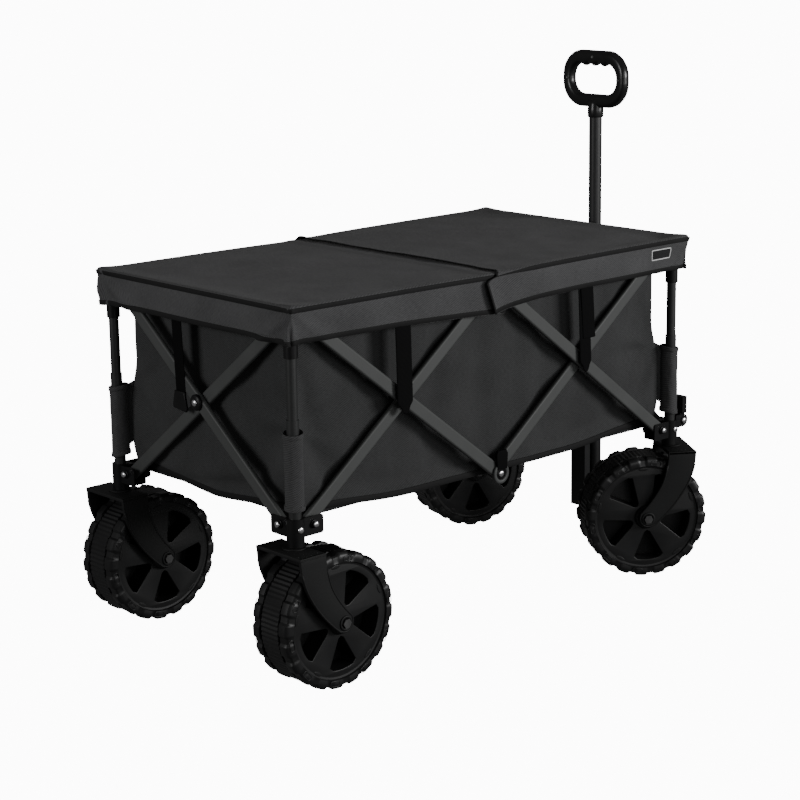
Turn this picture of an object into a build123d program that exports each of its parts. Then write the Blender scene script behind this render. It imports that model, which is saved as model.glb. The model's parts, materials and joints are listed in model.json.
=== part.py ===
# Folding camp wagon: a scissor frame of flat-oval bars on four telescoping corner posts, a fabric
# bag hung inside it, a two-part fabric cover, four fork-mounted wheels and a telescoping pull handle.
# Millimetres. +X points to the handle end, +Y to the left, +Z up. The wagon stands on its wheels.
import os
from math import atan2, degrees

from build123d import *

os.makedirs("parts", exist_ok=True)

# ---- driving dimensions -------------------------------------------------------------------------
POST_X = 493.0          # corner post axis, from the middle of the wagon
POST_Y = 260.5
PLANE_IN = 4.5          # the scissors' planes lie this far inside the post axes
SPAN = 459.0            # horizontal reach of one scissor bar, pivot to pivot
LOW_Z = 300.0           # height of the lower bar pivots
HIGH_Z = 656.0          # height of the upper bar pivots
CROSS_Z = (LOW_Z + HIGH_Z) / 2

BAR_H, BAR_T, BAR_WALL = 25.0, 10.0, 1.3
BAR_GAP = 2.0           # space between the two bars of one scissor
LAYER = (BAR_T + BAR_GAP) / 2
BARS_HALF = LAYER + BAR_T / 2
PIN_R, HEAD_R, HEAD_T = 4.0, 8.0, 2.5
RUN_GAP = 0.1           # radial play of a pin in a bar
HEAD_GAP = 0.3
FIT = 0.02              # radial gap of pieces that don't move against each other

CHEEK_IN, CHEEK_T = 11.3, 2.5
CHEEK_OUT = CHEEK_IN + CHEEK_T
ARM_REACH = 56.0        # bracket arm, from the post axis
ARM_ROUND = 5.0
THROUGH = 200.0         # longer than any hole that is cut with it
WHEEL_R, WHEEL_W, WEB_T = 125.0, 97.5, 28.0
TRAIL = 58.0            # axle behind the swivel axis
FRONT_RIGHT_YAW = -33.8
FRONT_LEFT_YAW = -17.0
FORK_IN, FORK_OUT = 55.0, 61.0
PLATE_TOP, PLATE_T = 262.0, 6.0
PLATE_BACK, PLATE_FRONT = -17.0, 40.0
BOSS_R, BOSS_H = 20.0, 2.4
AXLE_R, NUT_R, NUT_H = 6.0, 9.0, 5.0

RIM_IN_R = 104.0        # the web fills the rim up to here
RIM_WALL_R, TREAD_IN_R = 108.0, 119.0   # the rim is hollow between these
SHOULDER_R, SIDE_R = 122.0, 117.0
RIM_SIDE, SHOULDER_W, SIDE_SLOPE, CENTRE_INSET = 7.0, 6.0, 2.0, 16.0
HUB_R, HUB_L = 24.0, 104.0
WINDOWS, WINDOW_START, WINDOW_ROUND = 5, 14.0, 5.0
POCKET_DEPTH = 10.0
WINDOW_IN_R, WINDOW_OUT_R = 42.0, 91.0
LUG_GAPS, LUG_GAP = 20, (9.0, 12.0, 15.0)

COVER_X, COVER_Y = 509.0, 285.5
COVER_Z, SKIRT_Z, SHEET = 690.0, 623.0, 2.0
LAP = (-20.0, 8.0)      # the front half's edge and the rear half's edge
BAG_X, BAG_Y = 462.0, 236.0
BAG_TOP, BAG_LOW, BAG_T = 665.0, 295.0, 3.0

HANDLE_X = 550.0
HANDLE_PIVOT_Z = 100.0
GRIP_W, GRIP_T, GRIP_ROUND = 172.0, 23.0, 8.5
GRIP_LOW, GRIP_HIGH = 925.0, 1042.0
GRIP_TOP_ROUND, GRIP_LOW_ROUND = 46.0, 56.0
HOLE_W, HOLE_H, HOLE_TOP_ROUND, HOLE_LOW_ROUND = 122.0, 62.0, 26.0, 29.0
NECK_R, NECK_LOW, NECK_H = 16.5, 905.0, 30.0

# The origin is under the middle of the whole wagon's outline, wheels and handle included.
ORIGIN_X, ORIGIN_Y = 5.0, 12.2

nodes = {}


def at(x, y, z, shape):
    return Pos(x, y, z) * shape


def along_y(radius, length):
    return Rot(90, 0, 0) * Cylinder(radius, length)


def along_x(radius, length):
    return Rot(0, 90, 0) * Cylinder(radius, length)


def solids_of(shape):
    return list(shape.solids()) if hasattr(shape, "solids") else [shape]


def keep(name, *shapes):
    """Store the pieces of one node, each a separate solid."""
    nodes[name] = [solid for shape in shapes for solid in solids_of(shape)]


# ---- scissor bars ---------------------------------------------------------------------------------
def flat_bar(start, end):
    """A flat-oval tube in the XZ plane, centred on y=0, with round ends and three pivot holes."""
    run_x, run_z = end[0] - start[0], end[1] - start[1]
    length = (run_x**2 + run_z**2) ** 0.5
    bar = extrude(Plane.XZ * SlotCenterToCenter(length, BAR_H), BAR_T / 2, both=True)
    bar = fillet(bar.edges().filter_by(Plane.XZ), BAR_T / 2 - 1.2)
    bar -= Box(length + BAR_H + 2, BAR_T - 2 * BAR_WALL, BAR_H - 4 * BAR_WALL)
    for x in (-length / 2, 0, length / 2):
        bar -= at(x, 0, 0, along_y(PIN_R + RUN_GAP, BAR_T + 2))
    lean = -degrees(atan2(run_z, run_x))
    return at((start[0] + end[0]) / 2, 0, (start[1] + end[1]) / 2, Rot(0, lean, 0) * bar)


def side_y(side):
    return side * (POST_Y - PLANE_IN)


def end_x(end):
    return end * (POST_X - PLANE_IN)


def on_side(side, layer, shape):
    """Move a shape from y=0 to a long side's plane; layer +1 is outside, -1 inside."""
    return at(0, side_y(side) + side * layer * LAYER, 0, shape)


def on_end(end, layer, shape):
    """Turn a shape from the XZ plane to an end's plane, its X becoming the wagon's Y."""
    return at(end_x(end) + end * layer * LAYER, 0, 0, Rot(0, 0, 90) * shape)


def rivet(low, high, *collars):
    """A rivet along Y with domed heads outside y=low and y=high, and collars (from, to) on its shank."""
    reach = HEAD_GAP + HEAD_T / 2
    pin = at(0, (low + high) / 2, 0, along_y(PIN_R, high - low + 2 * reach))
    for place, outer in ((low - reach, 0), (high + reach, -1)):
        head = along_y(HEAD_R, HEAD_T)
        rim = head.edges().filter_by(GeomType.CIRCLE).sort_by(Axis.Y)[outer]
        pin += at(0, place, 0, fillet(rim, HEAD_T - 0.6))
    for start, stop in collars:
        pin += at(0, (start + stop) / 2, 0, along_y(HEAD_R + 1, stop - start))
    return pin


WASHER = (HEAD_GAP - BAR_GAP / 2, BAR_GAP / 2 - HEAD_GAP)
mid_rivet = rivet(-BARS_HALF, BARS_HALF, WASHER)

for side, side_name in ((1, "left"), (-1, "right")):
    name = side_name + "_side_"
    keep(name + "rear_inner_bar", on_side(side, -1, flat_bar((-SPAN, LOW_Z), (0, HIGH_Z))))
    keep(name + "rear_outer_bar", on_side(side, 1, flat_bar((-SPAN, HIGH_Z), (0, LOW_Z))))
    keep(name + "front_inner_bar", on_side(side, -1, flat_bar((0, LOW_Z), (SPAN, HIGH_Z))))
    keep(name + "front_outer_bar", on_side(side, 1, flat_bar((0, HIGH_Z), (SPAN, LOW_Z))))
    keep(name + "rear_pins",
         at(-SPAN / 2, side_y(side), CROSS_Z, mid_rivet),
         at(0, side_y(side), HIGH_Z, mid_rivet))
    keep(name + "front_pins",
         at(SPAN / 2, side_y(side), CROSS_Z, mid_rivet),
         at(0, side_y(side), LOW_Z, mid_rivet))

HUB_GAP = 2.5           # the handle hub stands this far in front of the front end's bars
HUB_WALL = 2.5
hub_x = end_x(1) + BARS_HALF + HUB_GAP

for end, end_name in ((-1, "rear"), (1, "front")):
    half = SPAN / 2
    keep(end_name + "_end_inner_bar", on_end(end, -1, flat_bar((half, LOW_Z), (-half, HIGH_Z))))
    keep(end_name + "_end_outer_bar", on_end(end, 1, flat_bar((half, HIGH_Z), (-half, LOW_Z))))

keep("rear_end_centre_bolt", at(end_x(-1), 0, CROSS_Z, Rot(0, 0, 90) * mid_rivet))
hub_bolt = rivet(-BARS_HALF - HUB_GAP - HUB_WALL, BARS_HALF, WASHER,
                 (HEAD_GAP - BARS_HALF - HUB_GAP, -BARS_HALF - HEAD_GAP))


# ---- corner brackets and posts ------------------------------------------------------------------
LOW_POST_R, HIGH_POST_R, POST_WALL = 11.0, 9.5, 1.2
LOW_POST_BOTTOM, LOW_POST_TOP = 276.0, 490.0
HIGH_POST_BOTTOM, HIGH_POST_TOP = 277.0, 681.0
LOW_SOCKET = (16.0, 265.0, 315.0)       # radius, bottom and top
HIGH_SOCKET = (12.5, 598.0, 686.0)
LOW_ARM = (280.0, 314.0)                # bottom and top
HIGH_ARM = (642.0, 686.0)
STEM_R, STEM_TOP = 8.0, 272.0
LUG_Y, LUG_T = 12.0, 2.5                # the front brackets' forward lug: half width and cheek
LUG_PIVOT = (29.0, 310.0)               # its rivet, forward of the post axis and up
LUG_END_R = 13.0
STAY_T, STAY_W = 13.0, 30.0              # the short stay riveted in the lug
STAY_FOOT, STAY_LOW, STAY_TOP = 300.0, 325.0, 360.0
SIDE_OFFSET = POST_X - SPAN
END_OFFSET = POST_Y - SPAN / 2


def bracket_arm(arm_z, pivot_z, offset):
    """One channel arm along +X: two cheeks, a web behind the pivot, and a pivot hole."""
    low, high = arm_z
    arm = Box(ARM_REACH, 2 * CHEEK_OUT, high - low, align=(Align.MIN, Align.CENTER, Align.CENTER))
    arm = fillet(arm.edges().filter_by(Axis.Y).sort_by(Axis.X)[-2:], ARM_ROUND)
    slot = Box(ARM_REACH, 2 * CHEEK_IN, high - low, align=(Align.MIN, Align.CENTER, Align.CENTER))
    web = CHEEK_T if pivot_z < CROSS_Z else -CHEEK_T
    arm -= at(CHEEK_OUT + PLANE_IN, 0, web, slot)
    return at(0, 0, (low + high) / 2, arm) - at(offset, 0, pivot_z, along_y(PIN_R + FIT, THROUGH))


def arm_rivet(pivot_z, offset, bar_at_plus_y):
    """The rivet of a bracket arm, with a collar that fills the channel beside the bar."""
    near, far = BAR_GAP / 2 - HEAD_GAP, CHEEK_IN - HEAD_GAP
    collar = (-far, near) if bar_at_plus_y else (-near, far)
    return at(offset, 0, pivot_z, rivet(-CHEEK_OUT, CHEEK_OUT, collar))


def both_arms(side_piece, end_piece):
    """Bring a side arm's piece and an end arm's piece, both made along +X, to their planes."""
    return at(0, PLANE_IN, 0, side_piece), at(PLANE_IN, 0, 0, Rot(0, 0, 90) * end_piece)


def in_corner(end, side, shape):
    """Place a shape, made for the rear right corner at the post axis, in one of the corners."""
    if end > 0:
        shape = shape.mirror(Plane.YZ)
    if side > 0:
        shape = shape.mirror(Plane.XZ)
    return at(end * POST_X, side * POST_Y, 0, shape)


def tube(radius, wall, low, high):
    length = high - low
    return at(0, 0, (low + high) / 2, Cylinder(radius, length) - Cylinder(radius - wall, length))


def bracket(arm_z, pivot_z, socket, bore_r, bore):
    """Two arms at a right angle round a post socket."""
    side_arm, end_arm = both_arms(bracket_arm(arm_z, pivot_z, SIDE_OFFSET),
                                  bracket_arm(arm_z, pivot_z, END_OFFSET))
    radius, low, high = socket
    body = side_arm + end_arm + at(0, 0, (low + high) / 2, Cylinder(radius, high - low))
    return body - at(0, 0, (bore[0] + bore[1]) / 2, Cylinder(bore_r + FIT, bore[1] - bore[0]))


low_bracket = bracket(LOW_ARM, LOW_Z, LOW_SOCKET, LOW_POST_R, (LOW_POST_BOTTOM, LOW_SOCKET[2] + 1))
stem_bore = Cylinder(STEM_R + RUN_GAP, STEM_TOP + 1 - LOW_SOCKET[1],
                     align=(Align.CENTER, Align.CENTER, Align.MIN))
low_bracket -= at(0, 0, LOW_SOCKET[1], stem_bore)
high_bracket = bracket(HIGH_ARM, HIGH_Z, HIGH_SOCKET, HIGH_POST_R, (HIGH_SOCKET[1] - 1, HIGH_POST_TOP))



def forward_lug():
    """The two cheeks on the outer side of a front bracket, towards -X here."""
    out, up = LUG_PIVOT
    block = at(-out / 2, 0, up, Box(out, 2 * LUG_Y, 2 * LUG_END_R))
    block += at(-out, 0, up, along_y(LUG_END_R, 2 * LUG_Y))
    block -= at(-out, 0, up, Box(out, 2 * (LUG_Y - LUG_T), 2 * LUG_END_R + 1))
    block -= at(0, 0, up, Cylinder(LOW_SOCKET[0] - LUG_T, 2 * LUG_END_R + 1))
    return block - at(-out, 0, up, along_y(PIN_R + FIT, THROUGH))


def lug_stay():
    """The short flat stay that stands in the lug."""
    out, up = LUG_PIVOT
    tongue_w = 2 * (LUG_Y - LUG_T) - 1
    stay = at(-out, 0, STAY_FOOT, Box(STAY_T, tongue_w, STAY_LOW - STAY_FOOT,
                                      align=(Align.CENTER, Align.CENTER, Align.MIN)))
    stay += at(-out, 0, STAY_LOW, Box(STAY_T, STAY_W, STAY_TOP - STAY_LOW,
                                      align=(Align.CENTER, Align.CENTER, Align.MIN)))
    return stay - at(-out, 0, up, along_y(PIN_R + FIT, THROUGH))


front_low_bracket = low_bracket + forward_lug()
lug_rivet = at(-LUG_PIVOT[0], 0, LUG_PIVOT[1], rivet(-LUG_Y, LUG_Y))

corners = {"rear_left": (-1, 1), "rear_right": (-1, -1), "front_left": (1, 1), "front_right": (1, -1)}

for corner, (end, side) in corners.items():
    # Low at the rear and high at the front the side bar is the inner one; on the ends it is the
    # inner one low at the left and high at the right. Inside is +Y in a side arm, -Y in an end arm.
    rear, left = end < 0, side > 0
    low_rivets = both_arms(arm_rivet(LOW_Z, SIDE_OFFSET, rear), arm_rivet(LOW_Z, END_OFFSET, not left))
    high_rivets = both_arms(arm_rivet(HIGH_Z, SIDE_OFFSET, not rear), arm_rivet(HIGH_Z, END_OFFSET, left))
    low_pieces = (low_bracket,) if rear else (front_low_bracket, lug_stay(), lug_rivet)
    keep(corner + "_lower_bracket", *[in_corner(end, side, piece) for piece in (*low_pieces, *low_rivets)])
    keep(corner + "_upper_bracket", *[in_corner(end, side, piece) for piece in (high_bracket, *high_rivets)])
    x, y = end * POST_X, side * POST_Y
    keep(corner + "_lower_post", at(x, y, 0, tube(LOW_POST_R, POST_WALL, LOW_POST_BOTTOM, LOW_POST_TOP)))
    keep(corner + "_upper_post", at(x, y, 0, tube(HIGH_POST_R, POST_WALL, HIGH_POST_BOTTOM, HIGH_POST_TOP)))


# ---- wheels, forks and axles, built with the swivel axis at the origin and the trail to -X --------
LEG_FRONT = ((32, 212), (0, 152), (-45, 109))       # points of the leg's edges, seen from the side
LEG_TOE = ((-TRAIL - 4, 108), (-TRAIL - 17, 131))
LEG_BACK = ((-44, 172), (-22, 212))
WINDOW_IN_HALF, WINDOW_OUT_HALF = 13.0, 34.0        # half widths of a wheel pocket
WINDOW_IN_BOW, WINDOW_OUT_BOW = 2.0, 7.0


def fork():
    plate_low = PLATE_TOP - PLATE_T
    with BuildSketch(Plane.XZ) as leg_outline:
        with BuildLine():
            top = Line((PLATE_BACK, PLATE_TOP), (PLATE_FRONT, PLATE_TOP))
            front = Spline(top @ 1, *LEG_FRONT, tangents=((-0.1, -1), (-1, -0.55)))
            toe = ThreePointArc(front @ 1, *LEG_TOE)
            Spline(toe @ 1, *LEG_BACK, top @ 0, tangents=((0.35, 1), (0.05, 1)))
        make_face()
    leg = extrude(leg_outline.sketch, (FORK_OUT - FORK_IN) / 2, both=True)
    body = at(0, (FORK_IN + FORK_OUT) / 2, 0, leg)
    body += at(0, -(FORK_IN + FORK_OUT) / 2, 0, leg)
    body += at((PLATE_BACK + PLATE_FRONT) / 2, 0, PLATE_TOP - PLATE_T / 2,
               Box(PLATE_FRONT - PLATE_BACK, 2 * FORK_OUT, PLATE_T))
    body += at(0, 0, PLATE_TOP + BOSS_H / 2, Cylinder(BOSS_R, BOSS_H))
    body += at(0, 0, (plate_low + STEM_TOP) / 2, Cylinder(STEM_R, STEM_TOP - plate_low))
    body -= at(-TRAIL, 0, WHEEL_R, along_y(AXLE_R + FIT, THROUGH))
    return body


def wheel_rim():
    """The hollow rim with lugs along both shoulders."""
    half = WHEEL_W / 2
    shoulder = half - SHOULDER_W
    centre = half - CENTRE_INSET
    with BuildSketch(Plane.XY) as profile:
        with BuildLine():
            Polyline((RIM_IN_R, SIDE_SLOPE - half), (SIDE_R, -half), (SHOULDER_R, -shoulder),
                     (WHEEL_R, -centre), (WHEEL_R, centre), (SHOULDER_R, shoulder), (SIDE_R, half),
                     (RIM_IN_R, half - SIDE_SLOPE), close=True)
        make_face()
    rim = revolve(profile.sketch, Axis.Y)
    hollow = WHEEL_W - 2 * RIM_SIDE
    rim -= along_y(TREAD_IN_R, hollow) - along_y(RIM_WALL_R, hollow)
    for step in range(LUG_GAPS):
        for sign in (-1, 1):
            gap = at(0, sign * (half - LUG_GAP[0] / 2), 0, at(WHEEL_R, 0, 0, Box(*LUG_GAP)))
            rim -= Rot(0, 360 / LUG_GAPS * step, 0) * gap
    return at(-TRAIL, 0, WHEEL_R, rim)


def wheel_web():
    """The inset web with five pockets in each face, and the long hub."""
    disc = along_y(RIM_IN_R - FIT, WEB_T)
    with BuildSketch(Plane.XZ) as window:
        with BuildLine():
            in_r, out_r = WINDOW_IN_R - WINDOW_IN_BOW, WINDOW_OUT_R - WINDOW_OUT_BOW
            inner = ThreePointArc((in_r, -WINDOW_IN_HALF), (WINDOW_IN_R, 0), (in_r, WINDOW_IN_HALF))
            side_line = Line(inner @ 1, (out_r, WINDOW_OUT_HALF))
            outer = ThreePointArc(side_line @ 1, (WINDOW_OUT_R, 0), (out_r, -WINDOW_OUT_HALF))
            Line(outer @ 1, inner @ 0)
        make_face()
    pocket = extrude(fillet(window.sketch.vertices(), WINDOW_ROUND), POCKET_DEPTH)
    for step in range(WINDOWS):
        turn = Rot(0, 360 / WINDOWS * step + WINDOW_START, 0)
        disc -= turn * at(0, WEB_T / 2, 0, pocket)
        disc -= turn * at(0, POCKET_DEPTH - WEB_T / 2, 0, pocket)
    body = disc + along_y(HUB_R, HUB_L)
    return at(-TRAIL, 0, WHEEL_R, body - along_y(AXLE_R + RUN_GAP, THROUGH))


def axle():
    """The axle bolt: shank, hexagon head and nut outside the fork legs."""
    bolt = along_y(AXLE_R, 2 * FORK_OUT + 2)
    hexagon = extrude(Plane.XZ * RegularPolygon(NUT_R, 6), NUT_H / 2, both=True)
    for sign in (-1, 1):
        bolt += at(0, sign * (FORK_OUT + NUT_H / 2 + 2 * RUN_GAP), 0, hexagon)
    return at(-TRAIL, 0, WHEEL_R, bolt)


yaws = {"rear_left": 180, "rear_right": 180, "front_left": FRONT_LEFT_YAW, "front_right": FRONT_RIGHT_YAW}
rolling_parts = {"_fork": [fork()], "_wheel": [wheel_rim(), wheel_web()], "_axle": [axle()]}
for corner, (end, side) in corners.items():
    place = Pos(end * POST_X, side * POST_Y, 0) * Rot(0, 0, yaws[corner])
    for name, shapes in rolling_parts.items():
        keep(corner + name, *[place * shape for shape in shapes])


# ---- pull handle ----------------------------------------------------------------------------------
TUBE_R, TUBE_WALL, INNER_R = 16.5, 2.8, 13.5
TUBE_LOW, TUBE_TOP = 84.0, 622.0
INNER_LOW, INNER_TOP = 190.0, 936.0
HUB_HALF, HUB_LOW, HUB_TOP = 20.0, 78.0, 502.0
RIB_DEPTH, EAR_H = 16.0, 44.0
COLLAR_R, COLLAR_H, COLLAR_Z = 18.8, 36.0, 608.0
BUTTON_R, BUTTON_L = 7.0, 4.0
BUTTON_FACE = 20.0      # from the tube's axis

from_corner = (Align.MIN, Align.CENTER, Align.MIN)
hub = at(hub_x, 0, HUB_LOW, Box(HUB_WALL, 2 * HUB_HALF, HUB_TOP - HUB_LOW, align=from_corner))
for sign in (-1, 1):
    wall_y = sign * (HUB_HALF - HUB_WALL / 2)
    hub += at(hub_x, wall_y, HUB_LOW, Box(RIB_DEPTH, HUB_WALL, HUB_TOP - HUB_LOW, align=from_corner))
    ear = Box(HANDLE_X + RIB_DEPTH - hub_x, HUB_WALL, EAR_H, align=from_corner)
    hub += at(hub_x, wall_y, HUB_LOW, fillet(ear.edges().filter_by(Axis.Y).sort_by(Axis.X)[-2:], 14))
hub -= at(hub_x, 0, CROSS_Z, along_x(PIN_R + RUN_GAP, 20))
hub -= at(HANDLE_X, 0, HANDLE_PIVOT_Z, along_y(PIN_R + FIT, 3 * HUB_HALF))
keep("handle_hub", hub)
keep("handle_hub_bolts",
     at(end_x(1), 0, CROSS_Z, Rot(0, 0, 90) * hub_bolt),
     at(HANDLE_X, 0, HANDLE_PIVOT_Z, rivet(-HUB_HALF, HUB_HALF)))

outer = tube(TUBE_R, TUBE_WALL, TUBE_LOW, TUBE_TOP)
outer -= at(0, 0, HANDLE_PIVOT_Z, along_y(PIN_R + RUN_GAP, 3 * TUBE_R))
collar = Cylinder(COLLAR_R, COLLAR_H)
collar = fillet(collar.edges().filter_by(GeomType.CIRCLE), 2)
outer += at(0, 0, COLLAR_Z, collar - Cylinder(TUBE_R - TUBE_WALL, COLLAR_H))
outer -= at(COLLAR_R - 2, 0, COLLAR_Z, along_x(BUTTON_R + 2 * RUN_GAP, 7))
keep("handle_outer_tube", at(HANDLE_X, 0, 0, outer))
button = along_x(BUTTON_R, BUTTON_L)
button = fillet(button.edges().filter_by(GeomType.CIRCLE).sort_by(Axis.X)[-1], 1)
keep("handle_lock_button", at(HANDLE_X + BUTTON_FACE - BUTTON_L / 2, 0, COLLAR_Z, button))
keep("handle_inner_tube", at(HANDLE_X, 0, 0, tube(INNER_R, 1.5, INNER_LOW, INNER_TOP)))

grip_middle = (GRIP_LOW + GRIP_HIGH) / 2
ring = Rectangle(GRIP_W, GRIP_HIGH - GRIP_LOW)
ring = fillet(ring.vertices().group_by(Axis.Y)[-1], GRIP_TOP_ROUND)
ring = fillet(ring.vertices().group_by(Axis.Y)[0], GRIP_LOW_ROUND)
hole = Rectangle(HOLE_W, HOLE_H)
hole = fillet(hole.vertices().group_by(Axis.Y)[-1], HOLE_TOP_ROUND)
hole = fillet(hole.vertices().group_by(Axis.Y)[0], HOLE_LOW_ROUND)
grip = extrude(Plane.YZ * (ring - hole), GRIP_T / 2, both=True)
grip = fillet(grip.edges().filter_by(Plane.YZ), GRIP_ROUND)
neck_middle = NECK_LOW + NECK_H / 2
grip = at(0, 0, grip_middle, grip) + at(0, 0, neck_middle, Cylinder(NECK_R, NECK_H))
grip -= at(0, 0, neck_middle, Cylinder(INNER_R + FIT, NECK_H + 4))
keep("handle_grip", at(HANDLE_X, 0, 0, grip))


# ---- fabric ---------------------------------------------------------------------------------------
def cover_half(x_open, x_end, grow):
    """A shallow lid over half the wagon, open underneath and where it meets the other half."""
    low_x, high_x = min(x_open, x_end), max(x_open, x_end)
    length, width = high_x - low_x, 2 * (COVER_Y + grow)
    height = COVER_Z + grow - SKIRT_Z
    lid = Box(length, width, height, align=(Align.MIN, Align.CENTER, Align.MIN))
    lid = fillet(lid.edges().filter_by(Axis.Z).sort_by(Axis.X)[-2:] if x_end > 0
                 else lid.edges().filter_by(Axis.Z).sort_by(Axis.X)[:2], 14)
    room = Box(length, width - 2 * SHEET, height, align=(Align.MIN, Align.CENTER, Align.MIN))
    room = fillet(room.edges().filter_by(Axis.Z).sort_by(Axis.X)[-2:] if x_end > 0
                  else room.edges().filter_by(Axis.Z).sort_by(Axis.X)[:2], 12)
    step = -SHEET if x_end > 0 else SHEET
    return at(low_x, 0, SKIRT_Z, lid - at(step, 0, -SHEET, room))


def strap(x, side):
    """A webbing strap from the skirt's hem down past the crossing of a scissor."""
    low = CROSS_Z - 14
    return at(x, side * (COVER_Y - 1), (low + SKIRT_Z - 0.5) / 2, Box(39, 1.6, SKIRT_Z - 0.5 - low))


LAP_GROW = 2.4
keep("rear_cover", cover_half(LAP[1], -COVER_X, 0))
keep("front_cover", cover_half(LAP[0], COVER_X + LAP_GROW, LAP_GROW))
keep("rear_cover_straps", strap(-SPAN / 2, 1), strap(-SPAN / 2, -1))
keep("front_cover_straps", strap(SPAN / 2, 1), strap(SPAN / 2, -1))

panel_height = BAG_TOP - BAG_LOW
panel_z = (BAG_TOP + BAG_LOW) / 2
side_panel = Box(2 * BAG_X, BAG_T, panel_height)
rear_panel = Box(BAG_T, 2 * BAG_Y, panel_height)
bag_left = at(0, BAG_Y - BAG_T / 2, panel_z, side_panel)
bag_left += at(-BAG_X + BAG_T / 2, 0, panel_z, rear_panel)
keep("bag_left_and_rear", bag_left)
keep("bag_right", at(BAG_T / 2 + 0.5, -BAG_Y + BAG_T / 2 - 0.5, panel_z,
                     Box(2 * BAG_X - BAG_T - 1, BAG_T, panel_height)))
keep("bag_front", at(BAG_X - BAG_T / 2, 0, panel_z, Box(BAG_T, 2 * (BAG_Y - BAG_T - 1), panel_height)))
floor_length = BAG_X - BAG_T - 1.5
for end, end_name in ((-1, "rear"), (1, "front")):
    floor = Box(floor_length, 2 * (BAG_Y - BAG_T - 1), 2 * BAG_T)
    keep("bag_floor_" + end_name, at(end * (floor_length / 2 + 0.5), 0, BAG_LOW + 2 * BAG_T, floor))


# ---- write the nodes ------------------------------------------------------------------------------
move = Pos(-ORIGIN_X, -ORIGIN_Y, 0)
for name, solids in nodes.items():
    moved = [move * solid for solid in solids]
    export_step(moved[0] if len(moved) == 1 else Compound(children=moved), "parts/" + name + ".step")
everything = Compound(children=[move * solid for solids in nodes.values() for solid in solids])
box = everything.bounding_box()
print(len(nodes), "nodes; outline from", box.min, "to", box.max)
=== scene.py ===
# Looks of the folding camp wagon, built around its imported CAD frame. Metres, +X to the handle,
# +Y to the left, +Z up.
import json
import math

import bmesh
import bpy
import numpy as np
from mathutils import Matrix, Vector, noise


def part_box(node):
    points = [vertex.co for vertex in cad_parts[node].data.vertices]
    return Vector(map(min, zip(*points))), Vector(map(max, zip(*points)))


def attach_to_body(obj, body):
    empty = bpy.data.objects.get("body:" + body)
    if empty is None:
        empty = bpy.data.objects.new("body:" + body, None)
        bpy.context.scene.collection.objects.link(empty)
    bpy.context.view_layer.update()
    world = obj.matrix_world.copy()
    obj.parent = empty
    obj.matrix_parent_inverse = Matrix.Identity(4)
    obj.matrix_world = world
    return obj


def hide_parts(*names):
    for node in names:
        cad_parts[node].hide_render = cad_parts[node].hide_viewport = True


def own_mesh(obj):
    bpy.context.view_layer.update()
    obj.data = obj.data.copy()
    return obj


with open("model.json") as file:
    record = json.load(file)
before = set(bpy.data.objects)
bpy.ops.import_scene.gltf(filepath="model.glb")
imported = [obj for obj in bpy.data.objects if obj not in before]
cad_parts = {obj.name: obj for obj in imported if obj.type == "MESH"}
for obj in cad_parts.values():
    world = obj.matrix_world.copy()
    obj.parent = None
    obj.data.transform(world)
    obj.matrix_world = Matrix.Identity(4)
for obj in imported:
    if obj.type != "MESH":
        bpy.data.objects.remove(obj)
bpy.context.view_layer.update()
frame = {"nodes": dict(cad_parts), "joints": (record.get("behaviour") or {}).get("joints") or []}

CORNERS = {"rear_left": (-1, 1), "rear_right": (-1, -1), "front_left": (1, 1), "front_right": (1, -1)}
SIDES = {"left": 1, "right": -1}
joints = {joint["name"]: joint for joint in frame["joints"]}


# ---- places, all read from the frame ---------------------------------------------------------------
def middle(node):
    low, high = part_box(node)
    return (low + high) / 2


def joint_place(name):
    return Vector(joints[name]["pos_m"])


posts = {corner: middle(corner + "_lower_post") for corner in CORNERS}
wagon_x = (posts["rear_left"].x + posts["front_left"].x) / 2
wagon_y = (posts["rear_left"].y + posts["rear_right"].y) / 2
WAGON = Vector((wagon_x, wagon_y, 0))
LOW_PIVOT_Z = joint_place("fold").z
rear_cover_low, rear_cover_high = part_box("rear_cover")
COVER_TOP = rear_cover_high.z
HEM_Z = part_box("front_cover")[0].z
COVER_HALF_X = wagon_x - rear_cover_low.x
COVER_HALF_Y = (rear_cover_high.y - rear_cover_low.y) / 2
bag_low, bag_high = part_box("bag_left_and_rear")
BAG_HALF_X = wagon_x - bag_low.x
BAG_HALF_Y = (bag_high.y - bag_low.y) / 2
BACKDROP, AMBIENT = 12.0, 0.11


# ---- how a piece is added, moved and attached ------------------------------------------------------
def scene_object(name, data):
    obj = bpy.data.objects.new(name, data)
    bpy.context.scene.collection.objects.link(obj)
    return obj


def shift(obj, *place):
    """Move the mesh itself, so that the object's own place stays at the origin."""
    obj.data.transform(Matrix.Translation(place))


def attach(piece, body, slot, *replaced):
    """The piece rides a body and stands for the CAD nodes named; the slot argument is not used."""
    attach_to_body(piece, body)
    if replaced:
        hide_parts(*replaced)


def attach_to_cover(piece, end_name, slot, *replaced):
    """The piece rides one half of the cover and gets a mesh of its own."""
    attach(piece, end_name + "_cover", slot, *replaced)
    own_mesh(piece)


# ---- mesh helpers ----------------------------------------------------------------------------------
def add_object(name, verts, faces, material, uvs=None):
    mesh = bpy.data.meshes.new(name)
    mesh.from_pydata([tuple(v) for v in verts], [], faces)
    if uvs is not None:
        layer = mesh.uv_layers.new(name="cloth")
        index = np.empty(len(mesh.loops), int)
        mesh.loops.foreach_get("vertex_index", index)
        layer.data.foreach_set("uv", np.asarray(uvs, float)[index].ravel())
    mesh.materials.append(material)
    mesh.polygons.foreach_set("use_smooth", [True] * len(mesh.polygons))
    mesh.update()
    return scene_object(name, mesh)


def grid_faces(rows, columns, wrap=False):
    """Faces of a grid of rows x columns vertices; wrap joins the last column to the first."""
    faces = []
    for i in range(rows - 1):
        for j in range(columns if wrap else columns - 1):
            k = (j + 1) % columns
            a, b = i * columns, (i + 1) * columns
            faces.append((a + j, a + k, b + k, b + j))
    return faces


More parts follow.
